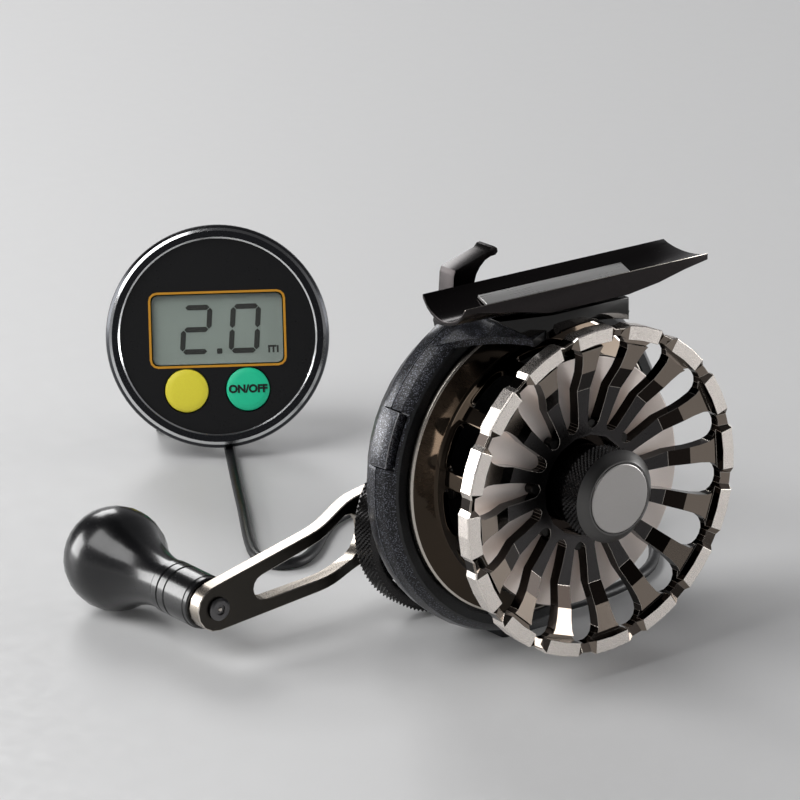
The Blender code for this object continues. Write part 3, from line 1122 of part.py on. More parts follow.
def build_arm():
    """The cranked two-ended arm: a gently bent bar met by the forked outline."""
    frame = arm_frame()
    reach = ARM_RADIUS + ARM_END_RADIUS + CUT_OVERRUN
    ends_front, ends_back = ARM_END_FRONT_X, ARM_END_BACK_X
    shares = [step / ARM_BEND_STEPS for step in range(ARM_BEND_STEPS + 1)]
    bend = [(ARM_BEND_START + (ARM_BEND_END - ARM_BEND_START) * share,
             ARM_CRANK * (1 - math.cos(math.pi * share)) / 2) for share in shares]
    right = [(x, ARM_FRONT_X + rise) for x, rise in bend] + [(reach, ends_front), (reach, ends_back)]
    right += [(x, ARM_BACK_X + rise) for x, rise in bend[::-1]]
    left = [(-x, z) for x, z in right[::-1]]
    side_basis = Matrix(((1, 0, 0), (0, 0, -1), (0, 1, 0))).to_4x4()
    arm = outline_solid("handle_arm", [counter_clockwise(right + left)], -ARM_HUB_RADIUS - CUT_OVERRUN,
                        ARM_HUB_RADIUS + CUT_OVERRUN, frame @ side_basis, BRONZE)
    slope = math.atan2(ARM_NECK_HALF_WIDTH - ARM_END_RADIUS, ARM_RADIUS - ARM_NECK_REACH)
    end = arc((ARM_RADIUS, 0), ARM_END_RADIUS, -math.pi / 2 + slope, math.pi / 2 - slope, ARM_ROUND_STEPS)
    hub_turn = math.acos(ARM_NECK_HALF_WIDTH / ARM_HUB_RADIUS)
    hub = arc((0, 0), ARM_HUB_RADIUS, math.pi / 2 - hub_turn, math.pi / 2 + hub_turn, ARM_ROUND_STEPS)
    neck = [(ARM_NECK_REACH, ARM_NECK_HALF_WIDTH)]
    half = end + neck + hub
    outline = half + [(-ARM_NECK_REACH, ARM_NECK_HALF_WIDTH)]
    outline += [(-x, -y) for x, y in end] + [(-ARM_NECK_REACH, -ARM_NECK_HALF_WIDTH)]
    outline += [(-x, -y) for x, y in hub] + [(ARM_NECK_REACH, -ARM_NECK_HALF_WIDTH)]
    tilt = math.atan2(ARM_SLOT_WIDE - ARM_SLOT_NARROW, ARM_SLOT_END - ARM_SLOT_START)
    wide = arc((ARM_SLOT_START + ARM_SLOT_WIDE, 0), ARM_SLOT_WIDE, math.pi / 2 + tilt,
               math.pi * 3 / 2 - tilt, ARM_ROUND_STEPS)
    narrow = arc((ARM_SLOT_END - ARM_SLOT_NARROW, 0), ARM_SLOT_NARROW, -math.pi / 2 + tilt,
                 math.pi / 2 - tilt, ARM_ROUND_STEPS)
    slot = narrow + wide
    low, high = ARM_BACK_X - CUT_OVERRUN, ends_front + CUT_OVERRUN
    outer_tool = outline_solid("arm_outline_tool", [outline], low, high, frame, cutter=True)
    boolean(arm, outer_tool, "INTERSECT")
    post_hole = arc((ARM_RADIUS, 0), POST_RADIUS + FIT_GAP, 0, math.tau, 12)[:-1]
    hub_hole = arc((0, 0), HANDLE_SHAFT_RADIUS + FIT_GAP, 0, math.tau, 16)[:-1]
    mirrored = [[(-x, -y) for x, y in loop] for loop in (slot, post_hole)]
    holes = outline_solid("arm_hole_cutter", [slot, post_hole, hub_hole] + mirrored, low, high, frame,
                          cutter=True)
    cut(arm, holes)
    return arm


def build_knob(side, spot):
    """One handle knob: the post in the arm, the metal ferrule and the ball grip."""
    seat = frame_at(0, spot.x, spot.y)
    back = ARM_END_BACK_X - FIT_GAP
    head_top = ARM_END_FRONT_X + FIT_GAP + POST_HEAD
    post_end = back - POST_DEPTH
    turned("knob_post_" + side, [
        (post_end, 0), (post_end, POST_RADIUS), (ARM_END_FRONT_X + FIT_GAP, POST_RADIUS),
        (ARM_END_FRONT_X + FIT_GAP, POST_HEAD_RADIUS), (head_top - EDGE_SOFTEN, POST_HEAD_RADIUS),
        (head_top, POST_HEAD_RADIUS - EDGE_SOFTEN), (head_top, 0),
    ], seat, STEEL, SEGMENTS_SMALL)
    bore = POST_RADIUS + FIT_GAP
    groove_x = back - FERRULE_LENGTH / 2
    turned("ferrule_" + side, [
        (back, bore), (back, FERRULE_RADIUS - EDGE_SOFTEN), (back - EDGE_SOFTEN, FERRULE_RADIUS),
        (groove_x + FERRULE_GROOVE, FERRULE_RADIUS), (groove_x, FERRULE_RADIUS - FERRULE_GROOVE),
        (groove_x - FERRULE_GROOVE, FERRULE_RADIUS), (back - FERRULE_LENGTH + EDGE_SOFTEN, FERRULE_RADIUS),
        (back - FERRULE_LENGTH, FERRULE_RADIUS - EDGE_SOFTEN), (back - FERRULE_LENGTH, bore),
    ], seat, GLOSS_BLACK, SEGMENTS_SMALL)
    grip_front = back - FERRULE_LENGTH - FIT_GAP
    neck_x = back - KNOB_NECK_REACH
    ball_x = back - KNOB_BALL_REACH
    start = math.atan2(KNOB_END_FLAT, -math.sqrt(KNOB_BALL_RADIUS ** 2 - KNOB_END_FLAT ** 2))
    shoulder = math.radians(52)
    ball = [(ball_x + KNOB_BALL_RADIUS * math.cos(start + (shoulder - start) * step / 8),
             KNOB_BALL_RADIUS * math.sin(start + (shoulder - start) * step / 8)) for step in range(9)]
    ease = []
    last_x, last_radius = ball[-1]
    for step in range(1, 4):
        share = step / 4
        curve = (1 - share) ** 2
        ease.append((last_x + (neck_x - last_x) * share,
                     KNOB_NECK_RADIUS + (last_radius - KNOB_NECK_RADIUS) * curve))
    hole_end = post_end - FIT_GAP
    turned("knob_" + side, [
        (hole_end, 0), (hole_end, bore), (grip_front, bore), (grip_front, KNOB_NECK_RADIUS),
        (neck_x, KNOB_NECK_RADIUS), *ease[::-1], *ball[::-1], (ball[0][0], 0),
    ], seat, GLOSS_BLACK, SEGMENTS_MEDIUM)


def display_frame():
    """Return the display's frame: local Z out of its face, local Y up its face."""
    lean = math.radians(DISPLAY_LEAN_DEG)
    turn = math.radians(DISPLAY_TURN_DEG)
    normal = Vector((math.cos(lean) * math.cos(turn), math.cos(lean) * math.sin(turn), math.sin(lean)))
    right = Vector((-math.sin(turn), math.cos(turn), 0))
    up = normal.cross(right)
    basis = Matrix((right, up, normal)).transposed().to_4x4()
    height = DISPLAY_RAISE + DISPLAY_RADIUS * math.cos(lean)
    centre = Vector((REEL_X - DISPLAY_BACK_X, REEL_Y + DISPLAY_SIDE_Y, height))
    return Matrix.Translation(centre) @ basis


DISPLAY_FRAME = display_frame()


def build_display():
    """The round display: bezel, face, screen, buttons, board, cell, case and hatch."""
    inner = DISPLAY_RADIUS - BEZEL_TAPER - BEZEL_LIP_DEPTH
    turned("display_bezel", [
        (0, BEZEL_LIP_RADIUS), (0, DISPLAY_RADIUS - BEZEL_WALL), (-RUN_GAP, DISPLAY_RADIUS),
        (-BEZEL_DEPTH, DISPLAY_RADIUS - BEZEL_TAPER),
        (-BEZEL_DEPTH, inner), (-BEZEL_LIP_DEPTH, inner), (-BEZEL_LIP_DEPTH, BEZEL_LIP_RADIUS),
    ], DISPLAY_FRAME, BEZEL_STEEL, SEGMENTS_LARGE)
    face_front = -BEZEL_LIP_DEPTH - FIT_GAP
    face_back = face_front - FACE_THICKNESS
    face_radius = inner - FIT_GAP
    face = turned("face_plate", [
        (face_back, 0), (face_back, face_radius), (face_front, face_radius), (face_front, 0),
    ], DISPLAY_FRAME, GLOSS_BLACK, SEGMENTS_MEDIUM)
    opening = rounded_rectangle((0, LCD_RISE), LCD_WIDTH + FIT_GAP * 2, LCD_HEIGHT + FIT_GAP * 2,
                                LCD_CORNER)
    window = outline_solid("lcd_window_cutter", [opening], face_back - CUT_OVERRUN, CUT_OVERRUN,
                           DISPLAY_FRAME, cutter=True)
    cut(face, window)
    sides = (("set_button", BUTTON_SET_SIDE, YELLOW), ("power_button", BUTTON_POWER_SIDE, GREEN))
    holes = [arc((side, -BUTTON_DROP), BUTTON_RADIUS + FIT_GAP, 0, math.tau, 28)[:-1] for _, side,
             _ in sides]
    button_holes = outline_solid("button_hole_cutter", holes, face_back - CUT_OVERRUN, CUT_OVERRUN,
                                 DISPLAY_FRAME, cutter=True)
    cut(face, button_holes)
    for name, side, finish in sides:
        top = face_front + BUTTON_PROUD
        spot = DISPLAY_FRAME @ Matrix.Translation((side, -BUTTON_DROP, 0))
        turned(name, [
            (top - BUTTON_LENGTH, 0), (top - BUTTON_LENGTH, BUTTON_RADIUS),
            (top - EDGE_SOFTEN, BUTTON_RADIUS),
            (top, BUTTON_RADIUS - EDGE_SOFTEN), (top, 0),
        ], spot, finish, 28)
    lens_front = face_front
    lens_back = lens_front - LENS_THICKNESS
    pane = rounded_rectangle((0, LCD_RISE), LCD_WIDTH, LCD_HEIGHT, LCD_CORNER)
    outline_solid("lcd_lens", [pane], lens_back, lens_front, DISPLAY_FRAME, CLEAR)
    panel_front = lens_back - FIT_GAP
    panel_back = panel_front - LCD_THICKNESS
    outline_solid("lcd_panel", [pane], panel_back, panel_front, DISPLAY_FRAME, LCD_GREY)
    border_outer = rounded_rectangle((0, LCD_RISE), LCD_WIDTH + BORDER_BAND * 3,
                                     LCD_HEIGHT + BORDER_BAND * 3,
                                     LCD_CORNER + BORDER_BAND)
    border_inner = rounded_rectangle((0, LCD_RISE), LCD_WIDTH + BORDER_BAND, LCD_HEIGHT + BORDER_BAND,
                                     LCD_CORNER)
    border_low = face_front + FIT_GAP
    border_high = border_low + BORDER_PROUD
    outline_solid("lcd_border", [border_outer, border_inner], border_low, border_high, DISPLAY_FRAME, AMBER)
    board_front = min(panel_back, face_front + BUTTON_PROUD - BUTTON_LENGTH - BUTTON_PROUD) - FIT_GAP
    board_back = board_front - PANEL_BOARD_THICKNESS
    turned("display_board", [
        (board_back, 0), (board_back, PANEL_BOARD_RADIUS), (board_front, PANEL_BOARD_RADIUS),
        (board_front, 0),
    ], DISPLAY_FRAME, CIRCUIT, SEGMENTS_MEDIUM)
    cell_front = board_back - FIT_GAP
    cell_back = cell_front - CELL_THICKNESS
    turned("coin_cell", [
        (cell_back, 0), (cell_back, CELL_RADIUS - EDGE_SOFTEN), (cell_back + EDGE_SOFTEN, CELL_RADIUS),
        (cell_front, CELL_RADIUS), (cell_front, 0),
    ], DISPLAY_FRAME @ Matrix.Translation((0, HATCH_RISE, 0)), STEEL, SEGMENTS_MEDIUM)
    case_front = face_back - FIT_GAP
    case = turned("display_case", [
        (case_front, CASE_RADIUS - CASE_WALL), (case_front, face_radius), (-BEZEL_DEPTH, face_radius),
        (-BEZEL_DEPTH - CASE_WALL, CASE_RADIUS), (-CASE_DEPTH + CASE_WALL, CASE_RADIUS),
        (-CASE_DEPTH, CASE_RADIUS - CASE_WALL), (-CASE_DEPTH, 0), (-CASE_DEPTH + CASE_WALL, 0),
        (-CASE_DEPTH + CASE_WALL, CASE_RADIUS - CASE_WALL),
    ], DISPLAY_FRAME, MATT_BLACK, SEGMENTS_MEDIUM)
    hatch_spot = DISPLAY_FRAME @ Matrix.Translation((0, HATCH_RISE, 0))
    opening_cut = turned("hatch_cutter", [
        (-CASE_DEPTH - CUT_OVERRUN, 0), (-CASE_DEPTH - CUT_OVERRUN, HATCH_RADIUS + FIT_GAP),
        (-CASE_DEPTH + CASE_WALL + CUT_OVERRUN, HATCH_RADIUS + FIT_GAP),
        (-CASE_DEPTH + CASE_WALL + CUT_OVERRUN, 0),
    ], hatch_spot, None, SEGMENTS_MEDIUM, cutter=True)
    cut(case, opening_cut)
    turned("battery_hatch", [
        (-CASE_DEPTH, 0), (-CASE_DEPTH, HATCH_RADIUS - EDGE_SOFTEN),
        (-CASE_DEPTH + EDGE_SOFTEN, HATCH_RADIUS),
        (-CASE_DEPTH + HATCH_THICKNESS, HATCH_RADIUS), (-CASE_DEPTH + HATCH_THICKNESS, 0),
    ], hatch_spot, MATT_BLACK, SEGMENTS_MEDIUM)
    return case


def build_clip():
    """The C-shaped rod clip on the display's back; its lowest point stands on the table."""
    lean = math.radians(DISPLAY_LEAN_DEG)
    turn = math.radians(DISPLAY_TURN_DEG)
    away = Vector((-math.cos(turn), -math.sin(turn), 0))
    right = Vector((-math.sin(turn), math.cos(turn), 0))
    height = DISPLAY_FRAME.translation.z
    rise = (CLIP_OUTER_RADIUS - height + CASE_DEPTH * math.sin(lean)) / math.cos(lean)
    back_point = DISPLAY_FRAME @ Vector((0, rise, -CASE_DEPTH))
    centre = back_point + away * (CLIP_OUTER_RADIUS + FIT_GAP + EDGE_SOFTEN)
    centre.z = CLIP_OUTER_RADIUS
    basis = Matrix((away, Vector((0, 0, 1)), -right)).transposed()
    if basis.determinant() < 0:
        basis = Matrix((away, Vector((0, 0, 1)), right)).transposed()
    frame = Matrix.Translation(centre + right * CLIP_SIDE) @ basis.to_4x4()
    gap = math.radians(CLIP_GAP_DEG)
    open_to = math.radians(15)
    start, end = open_to + gap / 2, open_to + math.tau - gap / 2
    inner = CLIP_OUTER_RADIUS - CLIP_WALL
    outline = arc((0, 0), CLIP_OUTER_RADIUS, start, end, CLIP_STEPS) + arc((0, 0), inner, end, start,
            CLIP_STEPS)
    clip = outline_solid("rod_clip", [counter_clockwise(outline)], -CLIP_LENGTH / 2, CLIP_LENGTH / 2, frame,
                         MATT_BLACK)
    stem_low = (-CASE_DEPTH - FIT_GAP - CLIP_OUTER_RADIUS / 2)
    stem = box("rod_clip_stem_tool", (CLIP_SIDE - CLIP_LENGTH / 2, rise + CLIP_WALL, stem_low),
               (CLIP_SIDE + CLIP_LENGTH / 2, rise + CLIP_WALL + CLIP_STEM, -CASE_DEPTH - FIT_GAP),
               DISPLAY_FRAME, cutter=True)
    bore = outline_solid("rod_clip_bore_cutter", [arc((0, 0), inner, 0, math.tau, 24)[:-1]], -CLIP_LENGTH,
                         CLIP_LENGTH,
                         frame, cutter=True)
    cut(stem, bore)
    join(clip, stem)
    return clip


def smooth_route(points, count):
    """Read evenly spaced points from a smooth curve through the route's points."""
    dense = []
    for index in range(len(points) - 1):
        before = points[max(index - 1, 0)]
        here, there = points[index], points[index + 1]
        after = points[min(index + 2, len(points) - 1)]
        for step in range(24):
            t = step / 24
            dense.append(0.5 * ((here + here) + (there - before) * t
                                + (before + before - here * 5 + there * 4 - after) * t * t
                                + (here * 3 - before - there * 3 + after) * t * t * t))
    dense.append(points[-1])
    lengths = [0]
    for a, b in zip(dense, dense[1:]):
        lengths.append(lengths[-1] + (b - a).length)
    total = lengths[-1]
    even = []
    index = 0
    for step in range(count):
        target = total * step / (count - 1)
        while index < len(dense) - 2 and lengths[index + 1] < target:
            index += 1
        span = lengths[index + 1] - lengths[index]
        even.append(dense[index].lerp(dense[index + 1], (target - lengths[index]) / span if span else 0))
    return even, total


# The cord's route in metres from the table's origin, after it leaves the relief
CORD_ROUTE = (
    (-0.0853, 0.0350, 0.0136), (-0.0883, 0.0371, 0.0108), (-0.0893, 0.0377, 0.0072),
    (-0.0878, 0.0367, 0.0039),
    (-0.0848, 0.0347, 0.0020), (-0.0807, 0.0319, 0.0013), (-0.0740, 0.0275, 0.0013),
    (-0.0674, 0.0230, 0.0013),
    (-0.0480, 0.0114, 0.0013), (-0.0295, 0.0006, 0.0013), (-0.0120, -0.0098, 0.0013),
    (-0.0035, -0.0135, 0.0013),
    (0.0020, -0.0128, 0.0013), (0.0038, -0.0082, 0.0013), (0.0004, -0.0022, 0.0013),
    (-0.0070, 0.0058, 0.0013),
    (-0.0125, 0.0130, 0.0013), (-0.0165, 0.0260, 0.0013), (-0.0175, 0.0390, 0.0013),
    (-0.0160, 0.0510, 0.0013),
    (-0.0100, 0.0600, 0.0013), (0.0020, 0.0644, 0.0013), (0.0150, 0.0644, 0.0013), (0.0280, 0.0616, 0.0013),
    (0.0410, 0.0556, 0.0013), (0.0515, 0.0460, 0.0013), (0.0570, 0.0340, 0.0014), (0.0585, 0.0240, 0.0015),
)


def build_cord(gland_x, gland_y):
    """The strain relief, the gland and the cord that runs between them on the table."""
    relief_back = -CASE_DEPTH - FIT_GAP
    spot = DISPLAY_FRAME @ Matrix.Translation((RELIEF_SIDE, -RELIEF_DROP, 0))
    turned("cord_relief", [
        (relief_back - RELIEF_LENGTH, 0), (relief_back - RELIEF_LENGTH, RELIEF_TIP_RADIUS),
        (relief_back, RELIEF_RADIUS), (relief_back, 0),
    ], spot, MATT_BLACK, SEGMENTS_SMALL)
    lengthwise = Matrix(((-1, 0, 0), (0, 0, 1), (0, 1, 0)))
    height = CORD_RADIUS + FIT_GAP - SPOOL_Z
    gland_start = gland_y + FIT_GAP
    gland_end = gland_start + GLAND_LENGTH
    gland_spot = frame_at(gland_x, 0, height, lengthwise)
    gland = turned("cord_gland", [
        (gland_start, 0), (gland_start, GLAND_RADIUS), (gland_end, GLAND_RADIUS - EDGE_SOFTEN),
        (gland_end, 0),
    ], gland_spot, RUBBER, SEGMENTS_SMALL)
    below = box("gland_floor_cutter", (-POD_WIDTH, -POD_WIDTH, -POD_WIDTH),
                (POD_WIDTH, -CORD_RADIUS, POD_WIDTH + POD_LENGTH),
                gland_spot, cutter=True)
    cut(gland, below)
    start = spot @ Vector((0, 0, relief_back - RELIEF_LENGTH - FIT_GAP))
    heading = (DISPLAY_FRAME.to_3x3() @ Vector((0, 0, -1))).normalized()
    finish = gland_spot @ Vector((0, 0, gland_end + FIT_GAP))
    lead = CORD_RADIUS * 2
    points = [start, start + heading * lead]
    points += [Vector(point) for point in CORD_ROUTE]
    points += [finish + Vector((0, lead, 0)), finish]
    even, total = smooth_route(points, CORD_POINTS)
    curve = bpy.data.curves.new("display_cord", "CURVE")
    curve.dimensions = "3D"
    curve.bevel_depth = CORD_RADIUS
    curve.bevel_resolution = 2
    curve.use_fill_caps = True
    spline = curve.splines.new("POLY")
    spline.points.add(len(even) - 1)
    for control, point in zip(spline.points, even):
        control.co = (*point, 1)
    cord = bpy.data.objects.new("display_cord", curve)
    PARTS.objects.link(cord)
    curve.materials.append(RUBBER)
    print("cord length %.4f m, lowest %.5f m" % (total, min(point.z for point in even) - CORD_RADIUS))
    return start, finish


def main():
    """Build every piece of the reel and its display."""
    build_spool_wheel()
    build_spool_drum()
    build_shaft()
    build_brake_knob()
    frame = build_frame()
    cover = build_cover()
    build_tab(frame, cover)
    pinion_back = build_gears()
    build_yoke(pinion_back)
    build_lever()
    foot, block = build_foot()
    build_foot_screws(frame, foot, block)
    gland_x, gland_y = build_pod()
    build_board()
    build_handle_stack()
    build_arm()
    build_knob("near", NEAR_KNOB)
    build_knob("far", FAR_KNOB)
    build_display()
    build_clip()
    build_cord(gland_x, gland_y)
    bpy.context.view_layer.update()


main()
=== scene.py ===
"""The looks of a small raft reel with a round digital line display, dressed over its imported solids."""

import json
import logging
import math
from collections.abc import Callable, Iterator
from contextlib import contextmanager
from dataclasses import dataclass
from enum import Enum

import bmesh
import bpy
from bpy.types import Material, Mesh, Node, NodeSocket, NodeTree, Object
from mathutils import Matrix, Vector

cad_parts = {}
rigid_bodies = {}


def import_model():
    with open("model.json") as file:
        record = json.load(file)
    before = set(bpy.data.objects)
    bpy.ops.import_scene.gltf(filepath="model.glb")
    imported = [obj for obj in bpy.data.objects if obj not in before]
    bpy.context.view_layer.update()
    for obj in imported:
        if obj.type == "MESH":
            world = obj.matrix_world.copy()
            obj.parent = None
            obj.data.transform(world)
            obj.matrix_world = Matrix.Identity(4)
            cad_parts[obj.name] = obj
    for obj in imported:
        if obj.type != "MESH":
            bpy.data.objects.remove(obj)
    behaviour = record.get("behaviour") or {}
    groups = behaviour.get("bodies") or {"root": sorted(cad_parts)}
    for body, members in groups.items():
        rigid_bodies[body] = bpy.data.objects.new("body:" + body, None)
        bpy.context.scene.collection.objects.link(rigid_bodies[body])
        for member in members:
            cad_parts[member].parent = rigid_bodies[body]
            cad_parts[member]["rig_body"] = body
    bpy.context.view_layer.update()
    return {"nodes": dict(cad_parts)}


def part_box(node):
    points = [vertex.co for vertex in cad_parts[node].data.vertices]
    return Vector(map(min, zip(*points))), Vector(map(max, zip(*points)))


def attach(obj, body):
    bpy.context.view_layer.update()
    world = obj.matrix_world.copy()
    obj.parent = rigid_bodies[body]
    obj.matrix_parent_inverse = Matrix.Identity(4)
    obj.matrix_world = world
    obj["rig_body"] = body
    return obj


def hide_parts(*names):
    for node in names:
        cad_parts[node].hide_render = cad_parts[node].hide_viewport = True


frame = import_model()

LOG = logging.getLogger("raft_reel")
MM = 0.001
WELD = 0.000002
REEL = Vector((0.0910, 0.0016, 0.037877))
HUB = REEL + Vector((0, -0.00165, -0.01825))
DISPLAY_CENTRE = Vector((-0.0684, 0.0215, 0.026797))
DISPLAY_NORMAL = Vector((0.793943, -0.531699, 0.294874))
DISPLAY_UP = Vector((-0.245007, 0.16408, 0.955536))
DISPLAY_RIGHT = Vector((0.556441, 0.830887, 0.0))


class Grain(Enum):
    """How a surface was made, which decides its fine pattern."""

    TURNED = "lathe rings round the reel's axis"
    BLASTED = "fine even grit"
    BRUSHED = "short parallel scratches"
    FLAKED = "metal flakes in paint"
    MOULDED = "faint moulding texture"
    WOVEN = "two-way cloth weave"
    CLEAR = "no pattern"


def srgb(code: str) -> tuple[float, float, float, float]:
    """Turn a hex colour with its # to linear red, green, blue and a full alpha.

    Args:
        code: # and six hex digits.

    Returns:
        The four values.
    """
    parts = [int(code[i:i + 2], 16) / 255 for i in (1, 3, 5)]
    linear = [c / 12.92 if c <= 0.04045 else ((c + 0.055) / 1.055) ** 2.4 for c in parts]
    return (*linear, 1.0)


def add(tree: NodeTree, kind: str, inputs: dict | None = None, **settings) -> Node:
    """Add a node with its settings and links.

    Args:
        tree: the node tree.
        kind: the node's type.
        inputs: socket name or number to a value, or to the output socket that feeds it.
        settings: the node's own properties.

    Returns:
        The new node.
    """
    node = tree.nodes.new(kind)
    for name, value in settings.items():
        setattr(node, name, value)
    for name, value in (inputs or {}).items():
        if isinstance(value, NodeSocket):
            tree.links.new(value, node.inputs[name])
        else:
            node.inputs[name].default_value = value
    return node


def maths(tree: NodeTree, operation: str, *values,
          kind: str = "ShaderNodeMath") -> NodeSocket:
    """Add a math node fed with numbers or output sockets, and give its output."""
    return add(tree, kind, dict(enumerate(values)), operation=operation).outputs[0]


@dataclass(frozen=True)
class Finish:
    """One real surface: its colour, gloss and fine pattern.

    grain_mm is the pattern's real spacing and relief_mm its height; speckle is how far the colour
    strays with the pattern, and second the colour that it strays to.
    """

    name: str
    colour: str
    roughness: float
    grain_mm: float = 0.3
    relief_mm: float = 0.01
    speckle: float = 0.15
    metallic: float = 1.0
    grain: Grain = Grain.BLASTED
    second: str = ""
    coat: float = 0.0
    ior: float = 1.5
    clear: float = 0.0

    def material(self) -> Material:
        """Build the material once and give it back each time."""
        found = bpy.data.materials.get("looks_" + self.name)
        if found:
            return found
        made = bpy.data.materials.new("looks_" + self.name)
        made.use_nodes = True
        tree = made.node_tree
        tree.nodes.clear()
        shader = add(tree, "ShaderNodeBsdfPrincipled", {
            "Base Color": srgb(self.colour), "Roughness": self.roughness, "Metallic": self.metallic,
            "IOR": self.ior, "Coat Weight": self.coat, "Coat Roughness": 0.08,
            "Transmission Weight": self.clear})
        place = add(tree, "ShaderNodeTexCoord").outputs["Object"]
        pattern = self.pattern(tree, place)
        if pattern is not None:
            self.dress(tree, shader, pattern, place)
        add(tree, "ShaderNodeOutputMaterial", {"Surface": shader.outputs[0]})
        return made

    def pattern(self, tree: NodeTree, place: NodeSocket) -> NodeSocket | None:
        """Make the fine pattern as one value from 0 to 1.

        Args:
            tree: the material's tree.
            place: the Object coordinates.

        Returns:
            The pattern's output, or None for a clear surface.
        """
        scale = 1 / (self.grain_mm * MM)
        if self.grain is Grain.TURNED:
            moved = maths(tree, "SUBTRACT", place, (0, REEL.y, REEL.z), kind="ShaderNodeVectorMath")
            flat = maths(tree, "MULTIPLY", moved, (0, 1, 1), kind="ShaderNodeVectorMath")
            radius = add(tree, "ShaderNodeVectorMath", {0: flat}, operation="LENGTH")
            along = add(tree, "ShaderNodeSeparateXYZ", {0: place})
            joined = maths(tree, "ADD", radius.outputs["Value"], along.outputs["X"])
            return add(tree, "ShaderNodeTexNoise", {"W": joined, "Scale": scale, "Detail": 3.0},
                       noise_dimensions="1D").outputs[0]
        if self.grain is Grain.BRUSHED:
            stretched = add(tree, "ShaderNodeMapping", {"Vector": place, "Scale": (scale, scale / 30, scale)})
            return add(tree, "ShaderNodeTexNoise", {"Vector": stretched.outputs[0], "Scale": 1.0,
                                                    "Detail": 2.0}).outputs[0]
        if self.grain is Grain.FLAKED:
            cells = add(tree, "ShaderNodeTexVoronoi", {"Vector": place, "Scale": scale})
            shade = add(tree, "ShaderNodeSeparateColor", {0: cells.outputs["Color"]})
            return maths(tree, "POWER", shade.outputs[0], 5.0)
        if self.grain is Grain.WOVEN:
            return add(tree, "ShaderNodeTexChecker", {"Vector": place, "Scale": scale}).outputs["Fac"]
        if self.grain is Grain.CLEAR:
            return None
        return add(tree, "ShaderNodeTexNoise", {"Vector": place, "Scale": scale, "Detail": 4.0}).outputs[0]

    def dress(self, tree: NodeTree, shader: Node, pattern: NodeSocket,
              place: NodeSocket) -> None:
        """Let the pattern move the colour, gloss and relief, with slow handling marks over it.

        Args:
            tree: the material's tree.
            shader: the Principled shader.
            pattern: the fine pattern.
            place: the Object coordinates.
        """
        light = self.second or self.colour
        spread = add(tree, "ShaderNodeMapRange", {"Value": pattern, "From Min": 0.25, "From Max": 0.75})
        low = [c * (1 - self.speckle) for c in srgb(self.colour)[:3]]
        high = [min(1, c * (1 + self.speckle)) for c in srgb(light)[:3]]
        mixed = add(tree, "ShaderNodeMix", {"Factor": spread.outputs[0]}, data_type="RGBA")
        mixed.inputs[6].default_value = (*low, 1)
        mixed.inputs[7].default_value = (*high, 1)
        tree.links.new(mixed.outputs[2], shader.inputs["Base Color"])
        wear = add(tree, "ShaderNodeTexNoise", {"Vector": place, "Scale": 160.0, "Detail": 3.0})
        blend = maths(tree, "ADD", wear.outputs[0], spread.outputs[0])
        gloss = add(tree, "ShaderNodeMapRange", {"Value": blend, "From Min": 0.4, "From Max": 1.6,
                                                 "To Min": self.roughness * 0.85,
                                                 "To Max": min(1.0, self.roughness * 1.2 + 0.02)})
        tree.links.new(gloss.outputs[0], shader.inputs["Roughness"])
        if self.relief_mm:
            bump = add(tree, "ShaderNodeBump", {"Height": pattern, "Distance": self.relief_mm * MM,
                                                "Strength": 0.5})
            tree.links.new(bump.outputs[0], shader.inputs["Normal"])


# Bright-cut aluminium: a diamond tool leaves a warm near-white face.
BRIGHT_CUT = Finish("bright_cut_aluminium", "#ece4dd", 0.26, 0.2, 0.0, 0.03)
# Gunmetal-anodised aluminium, polished: dark warm grey that mirrors the room.
GUNMETAL = Finish("gunmetal_anodised", "#897e74", 0.12, 0.2, 0.0, 0.04)
# The same gunmetal left satin on the spokes' flats: a charcoal that hardly mirrors.
CHARCOAL = Finish("charcoal_anodised", "#3a3838", 0.28, 0.15, 0.001, 0.08)
# Painted shade: polished anodising coloured near black on the walls inside the wheel's windows and round the
# drum's bore, where shade falls.
SHADED_WALL = Finish("dark_polished_anodised", "#241f1c", 0.10, 0.4, 0.0, 0.1)
# Polished gunmetal on the drum and its flange: dark brown-grey with clean mirror bands.
TURNED_GUNMETAL = Finish("turned_gunmetal", "#3f372f", 0.05, 0.15, 0.0, 0.03)
# Fine-blasted aluminium: the drum's front disc, an even pale cream from any side.
SPUN_BRIGHT = Finish("fine_blasted_aluminium", "#efe5df", 0.42, 0.15, 0.0, 0.03, 0.45)
# Stoved paint with fine aluminium flake: a black-grey granite.
FLAKE_PAINT = Finish("flake_paint", "#0e0e11", 0.34, 0.13, 0.003, 0.3, 0.5, Grain.FLAKED, "#5c5e68", coat=0.1)
# The same paint on the plate let into the band, coloured paler: painted light, standing for the lamp's light
# falling on the plate.
LIT_PLATE_PAINT = Finish("plate_paint", "#26262a", 0.36, 0.13, 0.003, 0.3, 0.5, Grain.FLAKED, "#7a7c84", coat=0.1)
# The same paint on the ring's front face, coloured near black with fine specks: painted shade, as this face
# lies in shadow.
SHADED_LIP_PAINT = Finish("lip_paint", "#050506", 0.34, 0.13, 0.002, 0.3, 0.2, Grain.FLAKED, "#1b1c20", coat=0.1)
# Painted highlight: the paint's rounded corners are coloured paler, standing for the light that catches them.
HIGHLIGHT_CORNER_PAINT = Finish("paint_on_corners", "#8f9299", 0.32, 0.13, 0.002, 0.2, 0.8, Grain.FLAKED, "#c2c4cc",
                    coat=0.1)
# Painted highlight: a bare-aluminium grey on the lock plate's rounded edge, standing for the light line it
# catches.
HIGHLIGHT_PLATE_EDGE = Finish("worn_plate_edge", "#9a9a9c", 0.30, 0.13, 0.0, 0.1, 0.9)
# Black-anodised aluminium, satin.
BLACK_ANODISED = Finish("black_anodised", "#1b1a1a", 0.30, 0.2, 0.004, 0.2, 0.75)
# Black-anodised knurl: a little rougher where the cut is worn.
KNURL_BLACK = Finish("knurled_black_anodised", "#3b3a3a", 0.26, 0.25, 0.001, 0.1)
